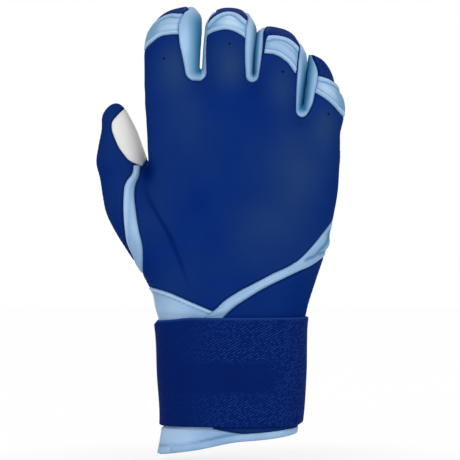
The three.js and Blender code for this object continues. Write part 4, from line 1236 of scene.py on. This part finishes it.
# Hem: the cuff's lower edge is stretch cloth turned inwards and sewn, a soft roll all round the slanted mouth. It
# waves a little, because the cloth is eased on as it is sewn.
def wrist_place(turn, z, off):
    """A point of the wrist at a turn round it and a height, that far off the skin, and its direction outwards."""
    sides = (palm_left, palm_right, palm_back, palm_front)
    left, right, back, front = (smooth_curve(z, palm_heights, values) for values in sides)
    half, centre = (right - left) / 2, (right + left) / 2
    depth = np.where(np.sin(turn) < 0, -back, front)
    u, v = np.cos(turn) / half, np.sin(turn) / depth
    reach = (np.abs(u) ** palm_square + np.abs(v) ** palm_square) ** (-1 / palm_square)
    x, y = reach * np.cos(turn), reach * np.sin(turn)
    slopes = [np.sign(v) * np.abs(v / size) ** (palm_square - 1) / size for v, size in ((x, half), (y, depth))]
    out = np.stack(slopes, -1)
    out = out / np.linalg.norm(out, axis=-1, keepdims=True)
    off = np.broadcast_to(off, x.shape)
    place = np.stack([x + centre + out[..., 0] * off, y + out[..., 1] * off, np.broadcast_to(z, x.shape)], -1)
    return place, out


def grid_faces(rows, columns, closed_rows, closed_columns):
    r = np.arange(rows if closed_rows else rows - 1)[:, None]
    c = np.arange(columns if closed_columns else columns - 1)[None, :]
    a, b = r * columns + c, r * columns + (c + 1) % columns
    d, e = ((r + 1) % rows) * columns + c, ((r + 1) % rows) * columns + (c + 1) % columns
    return np.stack([v.reshape(-1) for v in np.broadcast_arrays(a, b, e, d)], 1)


hem_turns, hem_round = 360, 20
turns = np.linspace(0, 2 * math.pi, hem_turns, endpoint=False)
around = np.linspace(0, 2 * math.pi, hem_round, endpoint=False)
flat_place, _ = wrist_place(turns, np.zeros_like(turns), 0)
hem_z = mouth_height(flat_place[:, 0], flat_place[:, 1])
rise = hem_z[:, None] + 1.25 + 1.75 * np.sign(np.sin(around)) * np.abs(np.sin(around)) ** 0.8
wave = 1 + 0.12 * np.sin(turns * 23 + 2 * np.sin(turns * 3))[:, None]
inset = -0.8 * ease(flat_place[:, 0], -25, -31) - 1.1 * ease(flat_place[:, 0], 20, 30)
off = 0.15 + inset[:, None] + 1.25 * wave * np.sign(np.cos(around)) * np.abs(np.cos(around)) ** 0.8
hem_points = wrist_place(np.repeat(turns[:, None], hem_round, 1), rise, off)[0].reshape(-1, 3)
hem_faces = grid_faces(hem_turns, hem_round, True, True)[:, ::-1]
plain = np.zeros(len(hem_points))
cuff_hem = mesh_piece("hem_cloth", hem_points, hem_faces, knit_cloth, edge=plain + 3.0, worn=plain)
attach(cuff_hem, "hand")
mark(cuff_hem, "stretch_cloth", "cuff_hem")

# Strap: wide navy elastic woven in twill. It starts on the palm side, goes round the little finger's side and
# the back of the wrist, and its free end closes over its start with a hook patch on a loop patch.
strap_thick, strap_off, tab_out = 1.9, 0.3, 4.7
smooth_height, run_height, fold_height = 31.2, 30.0, 33.0


def webbing(name, body, pale, dark, twill):
    """Elastic webbing: twill lines across the band, paler along its upper selvedge, and matt."""
    material, tree, shader = new_material(name)
    place = add(tree, "ShaderNodeUVMap", uv_map="weave")
    turned = add(tree, "ShaderNodeMapping", {"Vector": place, "Rotation": (0, 0, math.radians(30))})
    wave = {"Vector": turned, "Scale": 0.314 / twill, "Distortion": 0.5}
    lines = add(tree, "ShaderNodeTexWave", wave, bands_direction="Y").outputs["Fac"]
    dashes = add(tree, "ShaderNodeMapping", {"Vector": turned, "Scale": (1 / (1.5 * twill), 1 / (0.8 * twill), 1)})
    floats = add(tree, "ShaderNodeTexNoise", {"Vector": dashes, "Scale": 1.0, "Detail": 0.0})
    broken = add(tree, "ShaderNodeMapRange", {0: floats, 1: 0.35, 2: 0.6, 3: 0.45, 4: 1.0})
    weave = add(tree, "ShaderNodeMath", {0: lines, 1: broken}, operation="MULTIPLY")
    raised = add(tree, "ShaderNodeMapRange", {0: weave, 1: 0.5, 2: 1.0, 3: 0.0, 4: 1.0})
    run, height, _ = add(tree, "ShaderNodeSeparateXYZ", {0: place}).outputs
    off_middle = add(tree, "ShaderNodeMath", {0: height, 1: smooth_height}, operation="SUBTRACT")
    off_middle = add(tree, "ShaderNodeMath", {0: off_middle}, operation="ABSOLUTE")
    # The twill fades out on the thumb's side, and the middle of the band is bare on the back of the wrist.
    fades = []
    for value, start, end, low, high in ((run, 101.0, 128.0, 0.7, 0.12), (run, 140.0, 175.0, 0.0, 0.6),
                                         (run, 74.0, 90.0, 1.0, 0.0), (run, 140.0, 160.0, 0.0, 1.0),
                                         (off_middle, 5.5, 9.0, 0.0, 1.0)):
        span = {0: value, 1: start, 2: end, 3: low, 4: high}
        fades.append(add(tree, "ShaderNodeMapRange", span, interpolation_type="SMOOTHSTEP"))
    clear = add(tree, "ShaderNodeMath", {0: fades[0], 1: fades[1]}, operation="MAXIMUM")
    woven = add(tree, "ShaderNodeMath", {0: fades[2], 1: fades[3]}, operation="MAXIMUM")
    woven = add(tree, "ShaderNodeMath", {0: fades[4], 1: woven}, operation="MAXIMUM")
    woven = add(tree, "ShaderNodeMapRange", {0: woven, 1: 0.0, 2: 1.0, 3: 0.12, 4: 1.0})
    for fade in (clear, woven):
        raised = add(tree, "ShaderNodeMath", {0: raised, 1: fade}, operation="MULTIPLY")
    selvedge = add(tree, "ShaderNodeMapRange", {0: height, 1: strap_top - 1.4, 2: strap_top - 0.4, 3: 0.0, 4: 0.6})
    share = add(tree, "ShaderNodeMath", {0: raised, 1: selvedge}, operation="MAXIMUM", use_clamp=True)
    drift = add(tree, "ShaderNodeTexNoise", {"Vector": place, "Scale": 1 / 22, "Detail": 2.0})
    tone = add(tree, "ShaderNodeMix", {0: drift, 6: linear(dark), 7: linear(body)}, data_type="RGBA")
    tone = add(tree, "ShaderNodeMix", {0: share, 6: tone, 7: linear(pale)}, data_type="RGBA")
    bump = add(tree, "ShaderNodeBump", {"Height": weave, "Strength": 0.5, "Distance": 0.0003})
    connect(tree, shader, {"Base Color": tone, "Normal": bump, "Roughness": 0.78, "Specular IOR Level": 0.03})
    return material


strap_cloth = webbing("navy_twill_elastic", "#04216a", "#21499a", "#041b57", 1.12)


def strap_length(name, turns, offs, foot, top, thick, material, rounding=0.8, inset=0.0, woven=0.0):
    """A length of band with rounded edges that follows the wrist, with its own weave map in millimetres."""
    flat, _ = wrist_place(turns, np.full_like(turns, run_height), 2)
    run = woven + np.r_[0, np.cumsum(np.linalg.norm(np.diff(flat, axis=0), axis=1))]
    straight, bend = np.linspace(foot + rounding, top - rounding, 40), math.pi * np.arange(1, 7) / 7
    rise, half, lean = rounding * np.sin(bend), thick / 2, thick / 2 * np.cos(bend)
    loop_z = np.concatenate([straight, top - rounding + rise, straight[::-1], foot + rounding - rise])
    loop_off = np.concatenate([np.full(40, thick), half + lean, np.zeros(40), half - lean])
    rows, columns = len(turns), len(loop_z)
    middle = (foot + top) / 2
    narrower = 1 - np.broadcast_to(inset, rows) / (top - middle)
    z = middle + (loop_z - middle) * narrower[:, None]
    side_x = flat[:, 0]
    high, low = ease(z, middle, top), ease(z, middle, foot)
    drop = 1.4 * ease(side_x, -17, -33) + 2.2 * ease(side_x, -32.6, -35.6)
    z = z - high * drop[:, None] + low * (1.2 * ease(side_x, 31.5, 35.4))[:, None]
    off = offs[:, None] + loop_off - 0.5 * ease(z, 46, strap_top) * ease(side_x, 28, 34)[:, None]
    points, _ = wrist_place(np.repeat(turns[:, None], columns, 1), z, off)
    faces = grid_faces(rows, columns, False, True).tolist()
    faces.append(list(range(columns))[::-1])
    faces.append([(rows - 1) * columns + k for k in range(columns)])
    piece = mesh_piece(name, points.reshape(-1, 3), faces, material, sharp_angle=50)
    weave = piece.data.uv_layers.new(name="weave")
    corner = np.zeros(len(piece.data.loops), int)
    piece.data.loops.foreach_get("vertex_index", corner)
    uv = np.stack([np.repeat(run, columns), np.tile(loop_z, rows)], 1)
    weave.data.foreach_set("uv", uv[corner].astype(np.float32).reshape(-1))
    return piece


def line_length(turns, off):
    flat, _ = wrist_place(turns, np.full_like(turns, run_height), off)
    return float(np.linalg.norm(np.diff(flat, axis=0), axis=1).sum())


strap_start = math.atan2(21.8, -6)
strap_side = math.atan2(5, -31.5) - 2 * math.pi
band_turns = np.linspace(strap_start, strap_side, 300)
strap_run = line_length(band_turns, 2)
strap_band = strap_length("strap_webbing", band_turns, np.full(300, strap_off), strap_foot, strap_top, strap_thick,
                          strap_cloth)
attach(strap_band, "hand")
mark(strap_band, "elastic_webbing", "strap_band")
palm_turns = np.linspace(0, math.pi, 2000)
palm_x = wrist_place(palm_turns, np.full(2000, fold_height), 0)[0][:, 0]


def palm_turn(x):
    return float(np.interp(x, palm_x[::-1], palm_turns[::-1])) - 2 * math.pi


tab_turns = np.linspace(strap_side, palm_turn(20), 120)
tab_x = wrist_place(tab_turns, np.full(120, fold_height), 0)[0][:, 0]
tab_offs = strap_off + (tab_out - strap_off) * ease(tab_x, -30.5, -19)
strap_tab = strap_length("strap_free_end", tab_turns, tab_offs, strap_foot, strap_top, strap_thick, strap_cloth,
                         inset=1.6 * ease(tab_x, -31, -18), woven=strap_run)
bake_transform(strap_tab)
mark(strap_tab, "elastic_webbing", "strap_tab")


def fastener_tape(name, body, pale, fibre):
    """Hook and loop tape: a dense nap of nylon loops or hooks, very matt, its colour broken up by the fibres."""
    material, tree, shader = new_material(name)
    place = add(tree, "ShaderNodeTexCoord").outputs["Object"]
    nap = add(tree, "ShaderNodeTexVoronoi", {"Vector": place, "Scale": 1000 / fibre})
    tone = add(tree, "ShaderNodeMix", {0: nap, 6: linear(body), 7: linear(pale)}, data_type="RGBA")
    bump = add(tree, "ShaderNodeBump", {"Height": nap, "Strength": 0.7, "Distance": 0.0004})
    connect(tree, shader, {"Base Color": tone, "Normal": bump, "Roughness": 0.95, "Specular IOR Level": 0.15})
    return material


loop_tape = fastener_tape("navy_loop_tape", "#101d38", "#22345e", 0.9)
hook_tape = fastener_tape("navy_hook_tape", "#0c1730", "#1b2b50", 1.2)
patch_foot, patch_top = strap_foot + 7.6, strap_top - 7.6
loop_patch = strap_length("loop_tape_patch", np.linspace(palm_turn(-4), palm_turn(22), 60), np.full(60, 2.45),
                          patch_foot, patch_top, 0.85, loop_tape, rounding=0.4)
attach(loop_patch, "hand")
mark(loop_patch, "hook_and_loop", "strap_loop_patch")
hook_patch = strap_length("hook_tape_patch", np.linspace(palm_turn(-2), palm_turn(18), 50), np.full(50, 3.65),
                          patch_foot, patch_top, 0.85, hook_tape, rounding=0.4)
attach(hook_patch, "strap_end")
mark(hook_patch, "hook_and_loop", "strap_hook_patch")
end_binding = strap_length("strap_end_tape", np.linspace(palm_turn(19.8), palm_turn(23.6), 14),
                           np.full(14, tab_out - 0.9) + 0.35 * (np.linspace(-1, 1, 14) ** 4),
                           strap_foot + 1.4, strap_top - 1.4, 3.7, strap_cloth, rounding=1.2)
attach(end_binding, "strap_end")
mark(end_binding, "elastic_webbing", "strap_end_binding")

# Stitching: each panel is held by a row of lockstitch in polyester thread of its own colour, a presser foot's
# width in from the seam, and a box of stitches holds the hook patch on the strap's free end.
def polyester_thread(name, body, pale):
    """Twisted polyester: smooth and a little bright, with the light and dark of its plies across each stitch."""
    material, tree, shader = new_material(name)
    place = add(tree, "ShaderNodeTexCoord").outputs["Object"]
    plies = add(tree, "ShaderNodeTexNoise", {"Vector": place, "Scale": 1000 / 0.8, "Detail": 1.0})
    tone = add(tree, "ShaderNodeMix", {0: plies, 6: linear(body), 7: linear(pale)}, data_type="RGBA")
    connect(tree, shader, {"Base Color": tone, "Roughness": 0.5, "Specular IOR Level": 0.15})
    return material


def lockstitch():
    tree, given = node_group("lockstitch", Pitch="Float", Length="Float", Thickness="Float", Thread="Material")
    row = add(tree, "GeometryNodeMeshToCurve", {"Mesh": given["Geometry"]})
    points = add(tree, "GeometryNodeCurveToPoints", {"Curve": row, "Length": given["Pitch"]}, mode="LENGTH").outputs
    turned = add(tree, "FunctionNodeAlignRotationToVector", {"Vector": points["Tangent"]}, axis="Z")
    size = add(tree, "ShaderNodeCombineXYZ", {0: given["Thickness"], 1: given["Thickness"], 2: given["Length"]})
    stitch = add(tree, "GeometryNodeMeshUVSphere", {"Segments": 6, "Rings": 4, "Radius": 0.5}).outputs["Mesh"]
    places = {"Points": points["Points"], "Instance": stitch, "Rotation": turned, "Scale": size}
    whole = add(tree, "GeometryNodeRealizeInstances", {0: add(tree, "GeometryNodeInstanceOnPoints", places)})
    smooth = add(tree, "GeometryNodeSetShadeSmooth", {0: whole})
    done = add(tree, "GeometryNodeSetMaterial", {"Geometry": smooth, "Material": given["Thread"]})
    add(tree, "NodeGroupOutput", {0: done})
    return tree


stitch_inset = 1.7


def panel_row(name, level=stitch_inset, values=None):
    """The line on a panel's outside where a value is at a level: its points, eased out, and the edges between."""
    outer, faces, edge, points, _ = sewn[name]
    outer = outer - 0.1 * hand_normals(points)
    value = (edge if values is None else values) - level
    a, b, sides, _ = edge_pairs(faces, len(outer))
    crosses = (value[a] < 0) != (value[b] < 0)
    slots = np.where(crosses, np.cumsum(crosses) - 1, -1)
    a, b = a[crosses], b[crosses]
    share = (value[a] / (value[a] - value[b]))[:, None]
    points = outer[a] * (1 - share) + outer[b] * share
    made = np.sort(slots[sides], 1)
    ends = made[(made[:, 1] >= 0) & (made[:, 0] < 0)][:, 1:]
    for _ in range(3):
        total, uses = points.copy(), np.ones(len(points))
        for one, other in (ends.T, ends[:, ::-1].T):
            np.add.at(total, one, points[other])
            np.add.at(uses, one, 1)
        points = total / uses[:, None]
    return points, ends


def sew_rows(name, rows, thread, slot, pitch=2.4):
    points, ends, start = [], [], 0
    for row, pairs in rows:
        points.append(row)
        ends.append(pairs + start)
        start += len(row)
    line = bpy.data.meshes.new(f"{name}_line")
    line.from_pydata((np.concatenate(points) * 0.001).tolist(), np.concatenate(ends).tolist(), [])
    sizes = dict(Pitch=pitch * 0.001, Length=pitch * 0.00072, Thickness=0.00036)
    stitches = grown_mesh(name, line, row_of_stitches, Thread=thread, **sizes)
    mark(stitches, slot)
    return stitches


row_of_stitches = lockstitch()
navy_thread = polyester_thread("navy_polyester_thread", "#04246a", "#143678")
white_thread = polyester_thread("white_polyester_thread", "#e2e2de", "#f0f0ec")
blue_thread = polyester_thread("light_blue_polyester_thread", "#85abd3", "#a4c6e8")
back_rows = [panel_row(name) for name in ("back_leather", "ulnar_wrist_leather")]
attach(sew_rows("back_stitches", back_rows, navy_thread, "blue_leather"), "hand")
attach(sew_rows("palm_stitches", [panel_row("palm_leather")], white_thread, "white_leather"), "hand")
thumb_blend(sew_rows("thumb_back_stitches", [panel_row("thumb_back_leather")], navy_thread, "blue_leather"))
thumb_blend(sew_rows("thumb_end_stitches", [panel_row("thumb_end_leather")], white_thread, "white_leather"))
for name in finger_names:
    _, _, _, points, rims = sewn[f"{name}_knuckle_cloth"]
    low, high = flex_distances(points, rims)
    hem_rows = [panel_row(f"{name}_knuckle_cloth", 1.9, low), panel_row(f"{name}_knuckle_cloth", 2.4, high)]
    finger_blend(sew_rows(f"{name}_hem_stitches", hem_rows, blue_thread, "stretch_cloth", 2.0))
    for side, thread, slot in (("back", navy_thread, "blue_leather"), ("front", white_thread, "white_leather")):
        row = panel_row(f"{name}_end_{side}_leather")
        finger_blend(sew_rows(f"{name}_end_{side}_stitches", [row], thread, slot))
_, _, _, points, _ = sewn["cuff_cloth"]
hem_line = np.where(points[:, 1] < 0, seam_line(points[:, 0], v_left_line) - points[:, 2], -20)
hem_line = np.where(points[:, 2] > strap_top - 1, hem_line, -20)
wrist_rows = [panel_row("trim_cloth", 0.9), panel_row("cuff_cloth", 1.5, hem_line)]
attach(sew_rows("wrist_stitches", wrist_rows, blue_thread, "stretch_cloth", 2.0), "hand")
box_left, box_right, box_low, box_high = -2, 18, patch_foot + 1, patch_top - 1
along, up = np.linspace(box_left, box_right, 30), np.linspace(box_low, box_high, 20)
box_x = np.concatenate([along, np.full(20, box_right), along[::-1], np.full(20, box_left)])
box_z = np.concatenate([np.full(30, box_low), up, np.full(30, box_high), up[::-1]])
box_turns = np.array([palm_turn(x) for x in box_x])
box_points, _ = wrist_place(box_turns, box_z, tab_out + 1.95)
box_ends = np.stack([np.arange(len(box_x)), np.roll(np.arange(len(box_x)), -1)], 1)
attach(sew_rows("strap_box_stitches", [(box_points, box_ends)], navy_thread, "elastic_webbing", 2.6), "strap_end")

# Studio: a pale floor just under the cuff and soft light from the front, left and above, with a white world. The
# floor is drawn white to the camera, but less so close to the glove, where it keeps the glove's shadow.
def seen_rays(tree):
    path = add(tree, "ShaderNodeLightPath").outputs
    seen = add(tree, "ShaderNodeMath", {0: path["Is Camera Ray"], 1: path["Is Glossy Ray"]}, operation="MAXIMUM")
    return add(tree, "ShaderNodeMath", {0: seen, 1: path["Is Transmission Ray"]}, operation="MAXIMUM")


scene = bpy.context.scene
floor_reach, floor_height = 3.0, -0.0085
floor_mesh = bpy.data.meshes.new("floor")
corners = [(a * floor_reach, b * floor_reach, floor_height) for a, b in ((-1, -1), (1, -1), (1, 1), (-1, 1))]
floor_mesh.from_pydata(corners, [], [(0, 1, 2, 3)])
floor = bpy.data.objects.new("floor", floor_mesh)
scene.collection.objects.link(floor)
paper, tree, shader = new_material("white_studio_paper")
connect(tree, shader, {"Base Color": linear("#f4f4f4"), "Roughness": 0.9})
place = add(tree, "ShaderNodeTexCoord").outputs["Object"]
away = add(tree, "ShaderNodeVectorMath", {0: place}, operation="LENGTH").outputs["Value"]
span = {0: away, 1: 0.05, 2: 0.15, 3: 0.82, 4: 0.98}
white = add(tree, "ShaderNodeMapRange", span, interpolation_type="SMOOTHSTEP")
share = add(tree, "ShaderNodeMath", {0: seen_rays(tree), 1: white}, operation="MULTIPLY")
glow = add(tree, "ShaderNodeEmission", {"Color": (1, 1, 1, 1), "Strength": 1.0})
mixed = add(tree, "ShaderNodeMixShader", {0: share, 1: shader, 2: glow})
connect(tree, tree.nodes["Material Output"], {"Surface": mixed})
floor_mesh.materials.append(paper)

world = bpy.data.worlds.new("studio")
world.use_nodes = True
scene.world = world
tree = world.node_tree
strength = add(tree, "ShaderNodeMapRange", {0: seen_rays(tree), 1: 0.0, 2: 1.0, 3: 0.42, 4: 1.0})
connect(tree, tree.nodes["Background"], {"Color": (1, 1, 1, 1), "Strength": strength})


light_aim = np.array([0, 0, 0.1])


def soft_box(name, place, width, power):
    light = bpy.data.lights.new(name, "AREA")
    light.shape, light.size, light.energy = "DISK", width, power
    lamp = bpy.data.objects.new(name, light)
    lamp.location = place
    away = np.array(place) - light_aim
    flat = math.hypot(away[0], away[1])
    lamp.rotation_euler = (math.atan2(flat, away[2]), 0, math.atan2(away[0], -away[1]))
    scene.collection.objects.link(lamp)


soft_box("key_light", (-0.55, -0.95, 0.75), 0.7, 6.2)
soft_box("fill_light", (0.8, -0.8, 0.35), 0.8, 3.4)
soft_box("rear_light", (0.2, 0.9, 0.8), 0.8, 2.5)

camera = bpy.data.cameras.new("camera")
camera.lens, camera.sensor_width = 250, 36
camera_object = bpy.data.objects.new("camera", camera)
camera_object.location = (-0.0007, -1.501, 0.0996)
camera_object.rotation_euler = (math.pi / 2, 0, 0)
scene.collection.objects.link(camera_object)
scene.camera = camera_object
scene.view_settings.view_transform = "Standard"
